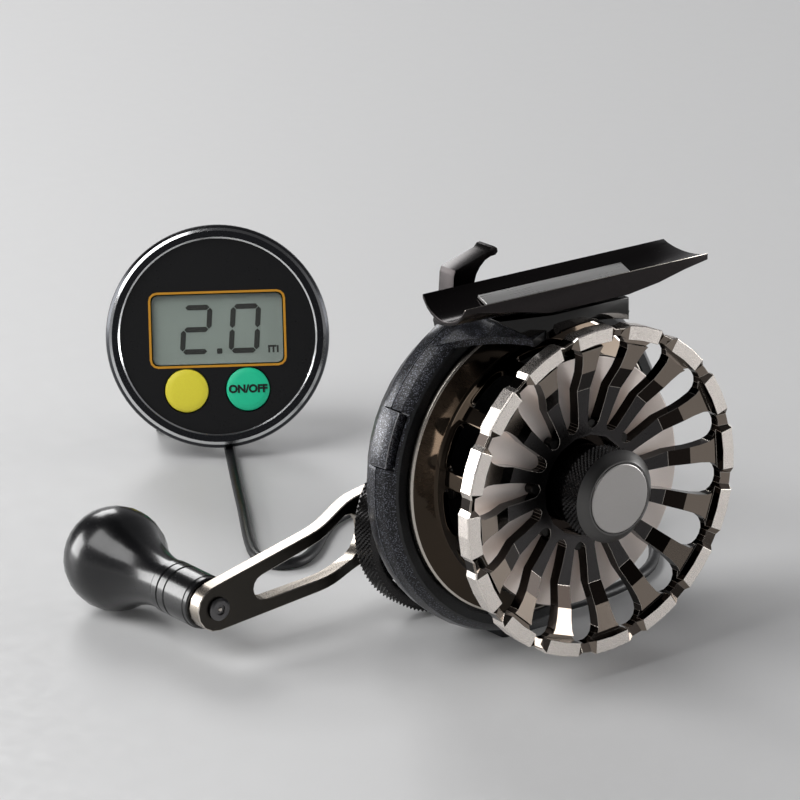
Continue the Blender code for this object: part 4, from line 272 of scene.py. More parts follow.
# Satin dark grey on the brake knob's turned front.
SATIN_DARK = Finish("satin_dark_anodised", "#5b5a59", 0.30, 0.15, 0.001, 0.05, grain=Grain.TURNED)
# Bead-blasted grey aluminium.
SATIN_GREY = Finish("bead_blasted_aluminium", "#a3a09e", 0.34, 0.12, 0.002, 0.06)
# Bronze-grey anodised aluminium, satin, as on the handle.
BRONZE_GREY = Finish("bronze_grey_anodised", "#403d39", 0.30, 0.18, 0.004, 0.2)
# Painted highlight: a bright bare-aluminium colour on cut edges, rounded bends and small hollows, standing
# for the light they catch.
HIGHLIGHT_EDGE_METAL = Finish("bright_edge_aluminium", "#cfc8bf", 0.22, 0.3, 0.0, 0.04)
# Polished black anodising: mirrors the room in black.
GLOSS_BLACK = Finish("polished_black_anodised", "#151413", 0.12, 0.5, 0.0, 0.1, 0.9, coat=0.5)
# The same anodising left satin in the trough and on the lever: dark brown-grey with soft lights.
SATIN_FOOT = Finish("satin_black_anodised", "#2f2c2c", 0.22, 0.3, 0.001, 0.1)
# Satin black lacquer over moulded ABS.
SATIN_BLACK = Finish("satin_black_lacquer", "#08080a", 0.22, 0.5, 0.0, 0.2, 0.0, Grain.MOULDED, coat=0.2)
# Satin stainless steel, dark enough to read as a rim.
BEZEL_STEEL = Finish("turned_stainless_steel", "#3a3b3e", 0.24, 0.3, 0.003, 0.10)
# The same steel polished on the bezel's front corners.
BEZEL_BRIGHT = Finish("polished_stainless_edge", "#d9dadb", 0.16, 0.3, 0.001, 0.05)
# Black-printed PMMA face: deep black with a moulded sparkle.
FACE_BLACK = Finish("black_face_pmma", "#050507", 0.30, 0.4, 0.001, 0.3, 0.0, Grain.MOULDED, coat=0.1)
# Bare reflective LCD: grey-green, slightly mottled.
LCD_GREY = Finish("reflective_lcd", "#939d97", 0.45, 0.6, 0.0, 0.03, 0.0, Grain.MOULDED)
# The dark segments of the LCD.
LCD_INK = Finish("lcd_segment", "#15170f", 0.5, 0.4, 0.0, 0.05, 0.0, Grain.MOULDED)
# Clear acrylic window over the LCD.
WINDOW_CLEAR = Finish("clear_pmma", "#f4f6f4", 0.04, metallic=0.0, grain=Grain.CLEAR, ior=1.49, clear=1.0)
# Screen-printed amber border.
AMBER_INK = Finish("amber_ink", "#d99a2b", 0.4, 0.3, 0.0, 0.08, 0.0, Grain.MOULDED)
# Silicone rubber keys: soft sheen, fine texture.
YELLOW_KEY = Finish("yellow_silicone", "#fff045", 0.48, 0.25, 0.004, 0.04, 0.0, Grain.MOULDED)
GREEN_KEY = Finish("green_silicone", "#22dca6", 0.48, 0.25, 0.004, 0.04, 0.0, Grain.MOULDED)
# Black pad print on the key.
PRINT_BLACK = Finish("black_print", "#101312", 0.5, 0.2, 0.0, 0.05, 0.0, Grain.MOULDED)
# Moulded black ABS with a spark-eroded texture.
BLACK_ABS = Finish("moulded_black_abs", "#17181a", 0.5, 0.35, 0.02, 0.2, 0.0, Grain.MOULDED)
# Flexible PVC jacket.
BLACK_PVC = Finish("black_pvc_jacket", "#0a0a0d", 0.42, 0.8, 0.01, 0.2, 0.0, Grain.MOULDED)
# Ground stainless steel of the shafts, bearings and screws.
STEEL = Finish("ground_stainless_steel", "#b4b3b0", 0.25, 0.25, 0.003, 0.08, grain=Grain.TURNED)
# Blacked steel of the pins and foot screws.
DARK_STEEL = Finish("blacked_steel", "#2b2a29", 0.32, 0.2, 0.003, 0.15)
# Painted light: the arm's side walls coloured much paler than the arm, standing for the light that falls on
# them.
LIT_BRONZE_WALL = Finish("cut_bronze_grey", "#a29a90", 0.26, 0.18, 0.003, 0.1)
# Black-oxide steel of the posts' button heads: a soft mid grey.
POST_STEEL = Finish("black_oxide_steel", "#6a696a", 0.34, 0.2, 0.002, 0.1)
# Machined brass gears.
BRASS = Finish("machined_brass", "#c9a255", 0.26, 0.2, 0.004, 0.08)
# Woven carbon drag washer.
CARBON = Finish("woven_carbon", "#141414", 0.35, 0.6, 0.01, 0.5, 0.2, Grain.WOVEN, "#3a3a3a", coat=0.4)
# Green solder mask over fibreglass.
BOARD = Finish("solder_mask", "#1f5a34", 0.4, 0.8, 0.005, 0.2, 0.0, Grain.MOULDED)
# Painted reflection: a near-white brushed strip in the foot's trough, standing for a lamp mirrored there.
STRIP_REFLECTION = Finish("polished_strip", "#e9e8e5", 0.30, 0.25, 0.001, 0.03, 0.85, Grain.BRUSHED)


def new_object(name: str, data: bpy.types.ID) -> Object:
    """Link a mesh, curve, lamp or camera as an object at the origin.

    Args:
        name: the object's name.
        data: what it shows.

    Returns:
        The object.
    """
    made = bpy.data.objects.new(name, data)
    bpy.context.scene.collection.objects.link(made)
    return made


def baked(source: Object, name: str) -> Object:
    """Turn an object's evaluated shape to a plain mesh and remove the object.

    Args:
        source: the object with its modifiers.
        name: the new object's name.

    Returns:
        The plain mesh object at the origin.
    """
    bpy.context.view_layer.update()
    evaluated = source.evaluated_get(bpy.context.evaluated_depsgraph_get())
    mesh = bpy.data.meshes.new_from_object(evaluated)
    mesh.transform(source.matrix_world)
    bpy.data.objects.remove(source, do_unlink=True)
    mesh.name = name
    return new_object(name, mesh)


@contextmanager
def worked(mesh: Mesh) -> Iterator[bmesh.types.BMesh]:
    """Open a mesh for editing and write it back.

    Args:
        mesh: the mesh.

    Yields:
        The editable form.
    """
    work = bmesh.new()
    work.from_mesh(mesh)
    yield work
    work.to_mesh(mesh)
    work.free()


def merge_flat(mesh: Mesh, angle: float) -> None:
    """Weld a mesh's doubled corners and merge faces that lie nearly flat to each other.

    Args:
        mesh: the mesh.
        angle: faces that meet at less than this are merged, in degrees.
    """
    with worked(mesh) as work:
        bmesh.ops.remove_doubles(work, verts=work.verts, dist=WELD)
        bmesh.ops.dissolve_limit(work, angle_limit=math.radians(angle), verts=work.verts, edges=work.edges)


def mesh_of(name: str, points: list, faces: list) -> Mesh:
    """Make a mesh from points in millimetres, with its normals outwards.

    Args:
        name: the mesh's name.
        points: the corners in mm.
        faces: lists of corner numbers.

    Returns:
        The mesh.
    """
    mesh = bpy.data.meshes.new(name)
    mesh.from_pydata([Vector(p) * MM for p in points], [], faces)
    with worked(mesh) as work:
        bmesh.ops.remove_doubles(work, verts=work.verts, dist=WELD)
        bmesh.ops.recalc_face_normals(work, faces=work.faces)
    return mesh


def lathe(name: str, profile: list, segments: int = 96) -> Mesh:
    """Turn a closed profile about the X axis.

    Args:
        name: the mesh's name.
        profile: (along, radius) corners in mm, in order round the section.
        segments: how many steps in a turn.

    Returns:
        The closed mesh.
    """
    points, faces, count = [], [], len(profile)
    for step in range(segments):
        turn = math.tau * step / segments
        points += [(x, r * math.cos(turn), r * math.sin(turn)) for x, r in profile]
    for step in range(segments):
        after = (step + 1) % segments
        for k in range(count):
            nxt = (k + 1) % count
            if profile[k][1] < 1e-6 and profile[nxt][1] < 1e-6:
                continue
            faces.append([step * count + k, step * count + nxt, after * count + nxt, after * count + k])
    mesh = mesh_of(name, points, faces)
    with worked(mesh) as work:
        bmesh.ops.dissolve_degenerate(work, dist=WELD, edges=work.edges)
    return mesh


def turned(name: str, profile: list, at: Vector, segments: int = 96) -> Object:
    """Turn a profile into a smooth object whose axis runs through a point.

    Args:
        name: the object's name.
        profile: the corners, as for lathe.
        at: the point.
        segments: how many steps in a turn.

    Returns:
        The object.
    """
    mesh = lathe(name, profile, segments)
    mesh.transform(Matrix.Translation(at))
    return shade(new_object(name, mesh))


def prism(name: str, outline: list, low: float, high: float, across: Matrix) -> Mesh:
    """Raise a flat outline to a solid.

    Args:
        name: the mesh's name.
        outline: (a, b) corners in mm.
        low: where it starts along the third direction, in mm.
        high: where it ends.
        across: turns (a, b, height) to the piece's own directions.

    Returns:
        The closed mesh.
    """
    count = len(outline)
    points = [across @ Vector((a, b, h)) for h in (low, high) for a, b in outline]
    faces = [list(range(count))[::-1], list(range(count, 2 * count))]
    faces += [[k, (k + 1) % count, count + (k + 1) % count, count + k] for k in range(count)]
    return mesh_of(name, points, faces)


def rounded(width: float, height: float, corner: float, steps: int = 5) -> list:
    """List the corners of a rounded rectangle about the origin.

    Args:
        width: its width in mm.
        height: its height in mm.
        corner: the corners' radius in mm.
        steps: how many steps round each corner.

    Returns:
        The corners in mm.
    """
    points = []
    for sx, sy, start in ((1, 1, 0), (-1, 1, 90), (-1, -1, 180), (1, -1, 270)):
        for k in range(steps + 1):
            turn = math.radians(start + 90 * k / steps)
            points.append((sx * (width / 2 - corner) + corner * math.cos(turn),
                           sy * (height / 2 - corner) + corner * math.sin(turn)))
    return points


# Turns (a, b, height) so that a runs along +Y, b along +Z and the height along +X.
FACING_X = Matrix(((0, 0, 1), (1, 0, 0), (0, 1, 0)))
# Turns (a, b, height) to the display's right, up and outward directions.
FACING_DISPLAY = Matrix((DISPLAY_RIGHT, DISPLAY_UP, DISPLAY_NORMAL)).transposed()


def soften(obj: Object, width_mm: float, angle: float = 30, segments: int = 2,
           rim: int = -1) -> Object:
    """Round an object's sharp edges and bake the result.

    Args:
        obj: the object.
        width_mm: the rounding's width.
        angle: edges sharper than this are rounded, in degrees.
        segments: steps in the rounding.
        rim: the finish's number on the rounding, or -1 for that of the faces beside it.

    Returns:
        The baked object under the same name.
    """
    name = obj.name
    edge = obj.modifiers.new("soften", "BEVEL")
    edge.width = width_mm * MM
    edge.segments = segments
    edge.limit_method = "ANGLE"
    edge.angle_limit = math.radians(angle)
    edge.use_clamp_overlap = True
    edge.harden_normals = False
    edge.material = rim
    obj.name = name + "_rough"
    return baked(obj, name)


def shade(obj: Object, angle: float = 28) -> Object:
    """Shade a piece smoothly and keep its sharp edges crisp.

    Args:
        obj: the piece.
        angle: edges sharper than this stay crisp, in degrees.

    Returns:
        The piece.
    """
    obj.data.shade_smooth()
    obj.data.set_sharp_from_angle(angle=math.radians(angle))
    return obj


def coat(obj: Object, *finishes: Finish) -> Object:
    """Give an object its finishes, the first on every face.

    Args:
        obj: the object.
        finishes: the finishes in the order of their numbers.

    Returns:
        The object.
    """
    obj.data.materials.clear()
    for finish in finishes:
        obj.data.materials.append(finish.material())
    for face in obj.data.polygons:
        face.material_index = 0
    return obj


def off_axis(here: Vector) -> float:
    """How far a point lies from the X axis."""
    return math.hypot(here.y, here.z)


def tint(obj: Object, finish: Finish, chosen: Callable, about: Vector = REEL) -> Object:
    """Give another finish to some of a piece's faces.

    Args:
        obj: the piece.
        finish: the finish.
        chosen: tells from a face's centre (mm from about) and normal whether it is meant.
        about: where the centres are measured from, by default the spool's datum.

    Returns:
        The piece.
    """
    obj.data.materials.append(finish.material())
    last = len(obj.data.materials) - 1
    for face in obj.data.polygons:
        if chosen((face.center - about) / MM, face.normal):
            face.material_index = last
    return obj


def settle(obj: Object, body: str, replaced: tuple[str, ...] = ()) -> Object:
    """Let a finished piece ride on its body.

    Args:
        obj: the piece.
        body: the CAD body that it moves with.
        replaced: the CAD nodes that it stands for.

    Returns:
        The piece.
    """
    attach(obj, body)
    if replaced:
        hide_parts(*replaced)
    LOG.info("%s rides on %s with %d faces", obj.name, body, len(obj.data.polygons))
    return obj


def refined(node: str, finish: Finish, edge_mm: float = 0.15, angle: float = 30, segments: int = 2,
            rim: Finish | None = None) -> Object:
    """Stand in for a CAD node with a welded copy whose edges are softened.

    Args:
        node: the CAD node.
        finish: its finish.
        edge_mm: the rounding's width.
        angle: edges sharper than this are rounded.
        segments: steps in the rounding.
        rim: the finish of the rounding, where it differs.

    Returns:
        The piece, riding on the node's body.
    """
    source = frame["nodes"][node]
    mesh = source.data.copy()
    merge_flat(mesh, 0.6)
    made = coat(new_object(node + "_looks", mesh), finish, *([rim] if rim else []))
    if edge_mm:
        made = soften(made, edge_mm, angle, segments, 1 if rim else -1)
    return settle(shade(made, angle), source["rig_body"], (node,))


class Trees:
    """The Geometry Nodes trees that make what repeats round an axis."""

    @staticmethod
    def start(name: str, inputs: dict[str, str]) -> NodeTree:
        """Begin a tree with its named inputs.

        Args:
            name: the tree's name.
            inputs: each input's name and kind.

        Returns:
            The tree with its input and output sockets.
        """
        tree = bpy.data.node_groups.new(name, "GeometryNodeTree")
        tree.interface.new_socket("Geometry", in_out="INPUT", socket_type="NodeSocketGeometry")
        for label, kind in inputs.items():
            tree.interface.new_socket(label, in_out="INPUT", socket_type="NodeSocket" + kind)
        tree.interface.new_socket("Geometry", in_out="OUTPUT", socket_type="NodeSocketGeometry")
        return tree

    @staticmethod
    def close(tree: NodeTree, shape: NodeSocket, finish: NodeSocket) -> None:
        """End a tree with Realize Instances and Set Material.

        Args:
            tree: the tree.
            shape: what it made.
            finish: the material.
        """
        whole = add(tree, "GeometryNodeRealizeInstances", {"Geometry": shape})
        painted = add(tree, "GeometryNodeSetMaterial", {"Geometry": whole.outputs[0], "Material": finish})
        add(tree, "NodeGroupOutput", {"Geometry": painted.outputs[0]})

    @staticmethod
    def copies(tree: NodeTree, points: NodeSocket, piece: NodeSocket,
               turn: NodeSocket) -> NodeSocket:
        """Set a copy of an object on each point, turned about X.

        Args:
            tree: the tree.
            points: the points.
            piece: the object.
            turn: each copy's angle in radians.

        Returns:
            The copies.
        """
        source = add(tree, "GeometryNodeObjectInfo", {"Object": piece})
        spin = add(tree, "ShaderNodeCombineXYZ", {"X": turn})
        return add(tree, "GeometryNodeInstanceOnPoints", {
            "Points": points, "Instance": source.outputs["Geometry"], "Rotation": spin.outputs[0]}).outputs[0]

    @classmethod
    def ring(cls, cut: bool) -> NodeTree:
        """Copies of a piece turned round the X axis, set in a row or cut from the base.

        Args:
            cut: True to cut the copies from the base shape.

        Returns:
            The tree.
        """
        name = "ring_of_cuts" if cut else "ring_of_pieces"
        if name in bpy.data.node_groups:
            return bpy.data.node_groups[name]
        tree = cls.start(name, {"Piece": "Object", "Count": "Int", "First angle": "Float",
                                "Finish": "Material"})
        given = add(tree, "NodeGroupInput").outputs
        index = add(tree, "GeometryNodeInputIndex").outputs[0]
        step = maths(tree, "DIVIDE", math.tau, given["Count"])
        turn = maths(tree, "MULTIPLY_ADD", index, step, given["First angle"])
        points = add(tree, "GeometryNodePoints", {"Count": given["Count"]})
        shape = cls.copies(tree, points.outputs[0], given["Piece"], turn)
        if cut:
            flat = add(tree, "GeometryNodeRealizeInstances", {"Geometry": shape})
            shape = add(tree, "GeometryNodeMeshBoolean", {
                "Mesh 1": given["Geometry"], "Mesh 2": flat.outputs[0]}, operation="DIFFERENCE").outputs[0]
        cls.close(tree, shape, given["Finish"])
        return tree

    @classmethod
    def knurl(cls) -> NodeTree:
        """Rows of small diamonds round the X axis, every second row set half a step on."""
        if "knurl" in bpy.data.node_groups:
            return bpy.data.node_groups["knurl"]
        tree = cls.start("knurl", {"Diamond": "Object", "Rows": "Int", "Columns": "Int", "Radius": "Float",
                                   "Start": "Float", "Pitch": "Float", "Finish": "Material"})
        given = add(tree, "NodeGroupInput").outputs
        columns = given["Columns"]
        points = add(tree, "GeometryNodePoints", {"Count": maths(tree, "MULTIPLY", given["Rows"], columns)})
        index = add(tree, "GeometryNodeInputIndex").outputs[0]
        row = maths(tree, "FLOOR", maths(tree, "DIVIDE", index, columns))
        half = maths(tree, "MULTIPLY_ADD", maths(tree, "MODULO", row, 2.0), 0.5, index)
        turn = maths(tree, "MULTIPLY", maths(tree, "DIVIDE", half, columns), math.tau)
        out = add(tree, "ShaderNodeCombineXYZ", {
            "Y": maths(tree, "COSINE", turn), "Z": maths(tree, "SINE", turn)})
        far = add(tree, "ShaderNodeVectorMath", {0: out.outputs[0], "Scale": given["Radius"]},
                  operation="SCALE")
        along = maths(tree, "MULTIPLY_ADD", row, given["Pitch"], given["Start"])
        line = add(tree, "ShaderNodeCombineXYZ", {"X": along})
        where = maths(tree, "ADD", far.outputs[0], line.outputs[0], kind="ShaderNodeVectorMath")
        moved = add(tree, "GeometryNodeSetPosition", {"Geometry": points.outputs[0], "Position": where})
        cls.close(tree, cls.copies(tree, moved.outputs[0], given["Diamond"], turn), given["Finish"])
        return tree


def grown(name: str, tree: NodeTree, values: dict, base: Mesh | None = None,
          at: Vector = REEL) -> Object:
    """Run a tree and bake what it makes at its place.

    Args:
        name: the new piece's name.
        tree: the Geometry Nodes tree.
        values: input name to value.
        base: the shape that goes in, or None.
        at: where the tree's origin goes.

    Returns:
        The baked object.
    """
    holder = new_object(name + "_rough", base or bpy.data.meshes.new(name + "_base"))
    nodes = holder.modifiers.new("grow", "NODES")
    nodes.node_group = tree
    sockets = {item.name: item.identifier for item in tree.interface.items_tree if item.in_out == "INPUT"}
    for label, value in values.items():
        nodes[sockets[label]] = value
    made = baked(holder, name)
    made.data.transform(Matrix.Translation(at))
    for value in values.values():
        if isinstance(value, Object):
            bpy.data.objects.remove(value, do_unlink=True)
    return made


@dataclass
class Studio:
    """Pale floor, soft lamps and the camera at the photograph's view."""

    eye: Vector = Vector((0.67007, -0.47311, 0.3010))
    right: Vector = Vector((0.59750, 0.80172, -0.01557))
    back: Vector = Vector((0.76513, -0.56420, 0.31025))
    focal_mm: float = 188.6
    floor_size: float = 6.0
    floor_colour: str = "#d8d8d8"
    aim: Vector = Vector((0.02, 0, 0.03))
    lamps: tuple = (("key", (-0.1, -0.9, 1.1), 0.9, 0.9, 11), ("side", (0.62, 1.0, 0.19), 0.9, 0.32, 6),
                    ("rear", (-1.15, 0.42, 0.78), 0.5, 0.5, 5),
                    ("left", (-1.02, -0.88, 0.36), 0.7, 0.68, 14))
    sky_stops: tuple = ((0.0, "#d6d6d6"), (0.22, "#8f8f91"), (0.75, "#6c6c6e"))
    wall_stops: tuple = ((0.0, 1.0), (0.22, 0.9), (0.36, 0.3), (0.58, 0.25), (0.68, 1.0), (1.0, 1.0))
    sky_strength: float = 1.1

    def build(self) -> None:
        """Set up the floor, lamps, sky and camera."""
        self.floor()
        for lamp in self.lamps:
            self.lamp(*lamp)
        self.sky()
        self.camera()

    def floor(self) -> None:
        """A wide plain floor with a faint eggshell texture."""
        half = self.floor_size / 2 / MM
        mesh = mesh_of("floor", [(-half, -half, 0), (half, -half, 0), (half, half, 0), (-half, half, 0)],
                       [[0, 1, 2, 3]])
        finish = Finish("eggshell_floor", self.floor_colour, 0.5, 3.0, 0.0, 0.01, 0.0, Grain.MOULDED)
        floor = coat(new_object("floor", mesh), finish)

    def lamp(self, name: str, place: tuple, width: float, height: float, power: float) -> None:
        """Hang one soft box that looks at the reel.

        Args:
            name: the lamp's name.
            place: its centre in metres.
            width: its width in metres.
            height: its height in metres.
            power: its power in watts.
        """
        light = bpy.data.lights.new(name, "AREA")
        light.shape = "RECTANGLE"
        light.size = width
        light.size_y = height
        light.energy = power
        turn = (Vector(place) - self.aim).to_track_quat("Z", "Y").to_matrix().to_4x4()
        new_object(name, light).matrix_world = Matrix.Translation(place) @ turn

    def sky(self) -> None:
        """A soft room: pale near the horizon, greyer overhead and dark along part of its walls."""
        world = bpy.data.worlds.new("room")
        bpy.context.scene.world = world
        world.use_nodes = True
        tree = world.node_tree
        tree.nodes.clear()
        ray = add(tree, "ShaderNodeTexCoord").outputs["Generated"]
        height = add(tree, "ShaderNodeSeparateXYZ", {0: ray}).outputs
        ramp = self.ramp(tree, height["Z"], [(at, srgb(code)) for at, code in self.sky_stops])
        across = add(tree, "ShaderNodeMapRange", {"Value": height["Y"], "From Min": -1.0})
        walls = self.ramp(tree, across.outputs[0], [(at, (v, v, v, 1)) for at, v in self.wall_stops])
        toned = add(tree, "ShaderNodeMix", {"Factor": 1.0}, data_type="RGBA", blend_type="MULTIPLY")
        tree.links.new(ramp, toned.inputs[6])
        tree.links.new(walls, toned.inputs[7])
        back = add(tree, "ShaderNodeBackground", {"Color": toned.outputs[2], "Strength": self.sky_strength})
        add(tree, "ShaderNodeOutputWorld", {"Surface": back.outputs[0]})

    @staticmethod
    def ramp(tree: NodeTree, value: NodeSocket, stops: list) -> NodeSocket:
        """Add a colour ramp.

        Args:
            tree: the tree.
            value: what runs along the ramp.
            stops: each stop's place and colour, in order.

        Returns:
            The ramp's colour.
        """
        made = add(tree, "ShaderNodeValToRGB", {"Fac": value})
        places = made.color_ramp.elements
        places[0].position, places[0].color = stops[0]
        places[1].position, places[1].color = stops[-1]
        for position, colour in stops[1:-1]:
            places.new(position).color = colour
        return made.outputs[0]

    def camera(self) -> None:
        """The camera, from the place and angle of the photograph."""
        lens = bpy.data.cameras.new("camera")
        lens.lens = self.focal_mm
        lens.sensor_width = 36.0
        lens.clip_start = 0.01
        up = self.back.cross(self.right).normalized()
        side = up.cross(self.back).normalized()
        turn = Matrix((side, up, self.back.normalized())).transposed().to_4x4()
        holder = new_object("camera", lens)
        holder.matrix_world = Matrix.Translation(self.eye) @ turn
        bpy.context.scene.camera = holder


@dataclass
class LineCord:
    """The thin black cord from the display to the reel's outlet block."""

    diameter: float = 0.0024
    length: float = 0.3053
    start: tuple = (-0.0802988, 0.0316349, 0.0157266)
    route: tuple = (
        (-0.0822043, 0.0329110, 0.0150189), (-0.0853, 0.0350, 0.0136), (-0.0883, 0.0371, 0.0108),
        (-0.0893, 0.0377, 0.0072), (-0.0878, 0.0367, 0.0039), (-0.0848, 0.0347, 0.0020),
        (-0.0807, 0.0319, 0.0013), (-0.0740, 0.0275, 0.0013), (-0.0674, 0.0230, 0.0013),
        (-0.0480, 0.0114, 0.0013), (-0.0295, 0.0006, 0.0013), (-0.0120, -0.0098, 0.0013),
        (-0.0035, -0.0135, 0.0013), (0.0020, -0.0128, 0.0013), (0.0038, -0.0082, 0.0013),
        (0.0004, -0.0022, 0.0013), (-0.0070, 0.0058, 0.0013), (-0.0125, 0.0130, 0.0013),
        (-0.0165, 0.0260, 0.0013), (-0.0175, 0.0390, 0.0013), (-0.0160, 0.0510, 0.0013),
        (-0.0100, 0.0600, 0.0013), (0.0020, 0.0644, 0.0013), (0.0150, 0.0644, 0.0013),
        (0.0280, 0.0616, 0.0013), (0.0410, 0.0556, 0.0013), (0.0515, 0.0460, 0.0013),
        (0.0570, 0.0340, 0.0014), (0.0585, 0.0240, 0.0015), (0.0585, 0.0176, 0.0015),
        (0.0585, 0.0152, 0.0015))

    def centreline(self) -> list:
        """The route's points rounded off to one smooth curve."""
        points = [Vector(self.start)] + [Vector(p) for p in self.route]
        ends = [2 * points[0] - points[1]] + points + [2 * points[-1] - points[-2]]
        line = []
        for k in range(1, len(ends) - 2):
            a, b, c, d = ends[k - 1:k + 3]
            for t in (0, 0.25, 0.5, 0.75):
                line.append(0.5 * (2 * b + (c - a) * t + (2 * a - 5 * b + 4 * c - d) * t * t
                                   + (3 * b - a - 3 * c + d) * t * t * t))
        return line + [points[-1]]

    def build(self) -> None:
        line = self.centreline()
        curve = bpy.data.curves.new("display_cord_jacket", "CURVE")
        curve.dimensions = "3D"
        spline = curve.splines.new("POLY")
        spline.use_smooth = True
        spline.points.add(len(line) - 1)
        for point, place in zip(spline.points, line):
            point.co = (*place, 1)
        curve.bevel_depth = self.diameter / 2
        curve.bevel_resolution = 4
        curve.use_fill_caps = True
        jacket = new_object("display_cord_jacket", curve)
        curve.materials.append(BLACK_PVC.material())
        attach(jacket, "frame")
        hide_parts("display_cord")
        LOG.info("display_cord_jacket laid along %d points", len(line))


@dataclass
class SpoolWheel:
    """The dished front wheel: 16 faceted spokes, bottle-shaped windows and bright rim petals."""

    spokes: int = 16
    phase_deg: float = 3.8
    bore: float = 9.75
    inner_bend: tuple = (-4.6, 19.6)
    outer_bend: tuple = (-2.7, 23.6)
    cone_edge: tuple = (-1.15, 28.5)
    rim_inner: float = 29.7
    rim_outer: float = 32.5
    notch_outer: float = 31.95
    notch_dip: float = 0.25
    notch_fall: float = 1.7
    window_inner: float = 11.2
    window_outer: float = 30.3
    window_half: float = 3.25
    window_shares: tuple = (
        (0.0, 0.0), (0.013, 0.18), (0.037, 0.33), (0.063, 0.41), (0.251, 0.58), (0.44, 0.71), (0.649, 0.91),
        (0.749, 0.985), (0.853, 1.0), (0.916, 0.89), (0.958, 0.68), (0.99, 0.36), (1.0, 0.0))
    notch_angles: tuple = (2.1, 3.9)
    notch_slope: float = 1.8
    notch_half: float = 3.2
    petal_edge: float = 31.9
    petal_back: float = -0.9
    cone_back: float = -3.2

    def blank(self) -> Mesh:
        """The wheel before its windows are cut: flat-sided rings that meet in crisp bends."""
        rings = [(-8.0, self.bore, False), (-5.6, self.bore, False), (-5.6, 10.2, False),
                 (*self.inner_bend, False), (*self.outer_bend, False), (*self.cone_edge, False),
                 (-1.9, 28.65, False), (-1.9, 29.5, False), (0.0, self.rim_inner, True),
                 (0.0, self.rim_outer - 0.2, True), (-0.3, self.rim_outer, True),
                 (-3.3, self.rim_outer - 0.1, True), (-3.3, 29.6, False), (-5.1, 23.6, False),
                 (-7.0, 19.6, False), (-8.0, 12.0, False)]
        half = 180 / self.spokes
        flat, far = self.notch_angles
        stations = (-half, -half + flat, -half + far, 0.0, half - far, half - flat)
        points = []
        for k in range(self.spokes):
            for offset in stations:
                turn = math.radians(self.phase_deg + 2 * half * k + offset)
                near = min(1.0, max(0.0, (far - half + abs(offset)) / self.notch_slope))
                for x, r, on_rim in rings:
                    lip = r > self.rim_inner + 1
                    size, depth = r / math.cos(math.radians(offset)), x
                    if on_rim:
                        size = r - (self.rim_outer - self.notch_outer) * near * lip
                        dip = self.notch_dip if lip else self.notch_fall
                        depth = x - near * dip * (x > self.petal_back)
                    points.append((depth, size * math.cos(turn), size * math.sin(turn)))
        columns, count, faces = self.spokes * len(stations), len(rings), []
        for c in range(columns):
            after = (c + 1) % columns
            faces += [[c * count + k, c * count + (k + 1) % count, after * count + (k + 1) % count,
                       after * count + k] for k in range(count)]
        return mesh_of("wheel_blank", points, faces)

    def window(self) -> Object:
        """One bottle-shaped window as a cutter along +Y."""
        length = self.window_outer - self.window_inner
        side = [(self.window_inner + length * a, self.window_half * w) for a, w in self.window_shares]
        outline = [(r, -w) for r, w in side] + side[-2:0:-1]
        return new_object("wheel_window", prism("wheel_window", outline, -9, 1, FACING_X))

    def build(self) -> None:
        """Cut the windows, crisp the edges and dress each kind of face."""
        half = 180 / self.spokes
        wheel = grown("spool_wheel_looks", Trees.ring(True), {
            "Piece": self.window(), "Count": self.spokes, "First angle": math.radians(self.phase_deg + half),
            "Finish": CHARCOAL.material()}, self.blank())
        merge_flat(wheel.data, 1.0)
        coat(wheel, CHARCOAL, BRIGHT_CUT, GUNMETAL, SHADED_WALL, HIGHLIGHT_EDGE_METAL)
        bright, gunmetal, wall, edge = 1, 2, 3, 4
        for face in wheel.data.polygons:
            here, normal = (face.center - REEL) / MM, face.normal
            radius, forward = off_axis(here), normal.x > 0.75
            turn = math.degrees(math.atan2(here.z, here.y)) - self.phase_deg
            stray = abs((turn + half) % (2 * half) - half)
            petal = radius > self.rim_inner - 0.1 and (here.x > self.petal_back or radius > self.petal_edge)
            if petal and normal.x > -0.5:
                notch = stray > half - self.notch_half and radius < self.petal_edge
                face.material_index = gunmetal if notch else bright
            elif forward and radius > self.outer_bend[1] and here.x > self.cone_back:
                face.material_index = gunmetal
            # Window walls and other side faces take the near-black finish: painted shade.
            elif abs(normal.x) < 0.8 and radius > self.bore + 0.5 or forward and radius > self.inner_bend[1]:
                face.material_index = wall
            elif normal.x < -0.5:
                face.material_index = bright
        # The roundings at the bends take the painted highlight (finish number edge).
        wheel = shade(soften(wheel, 0.11, 9, 1, edge), 6)
        settle(wheel, "spool", ("spool_wheel",))


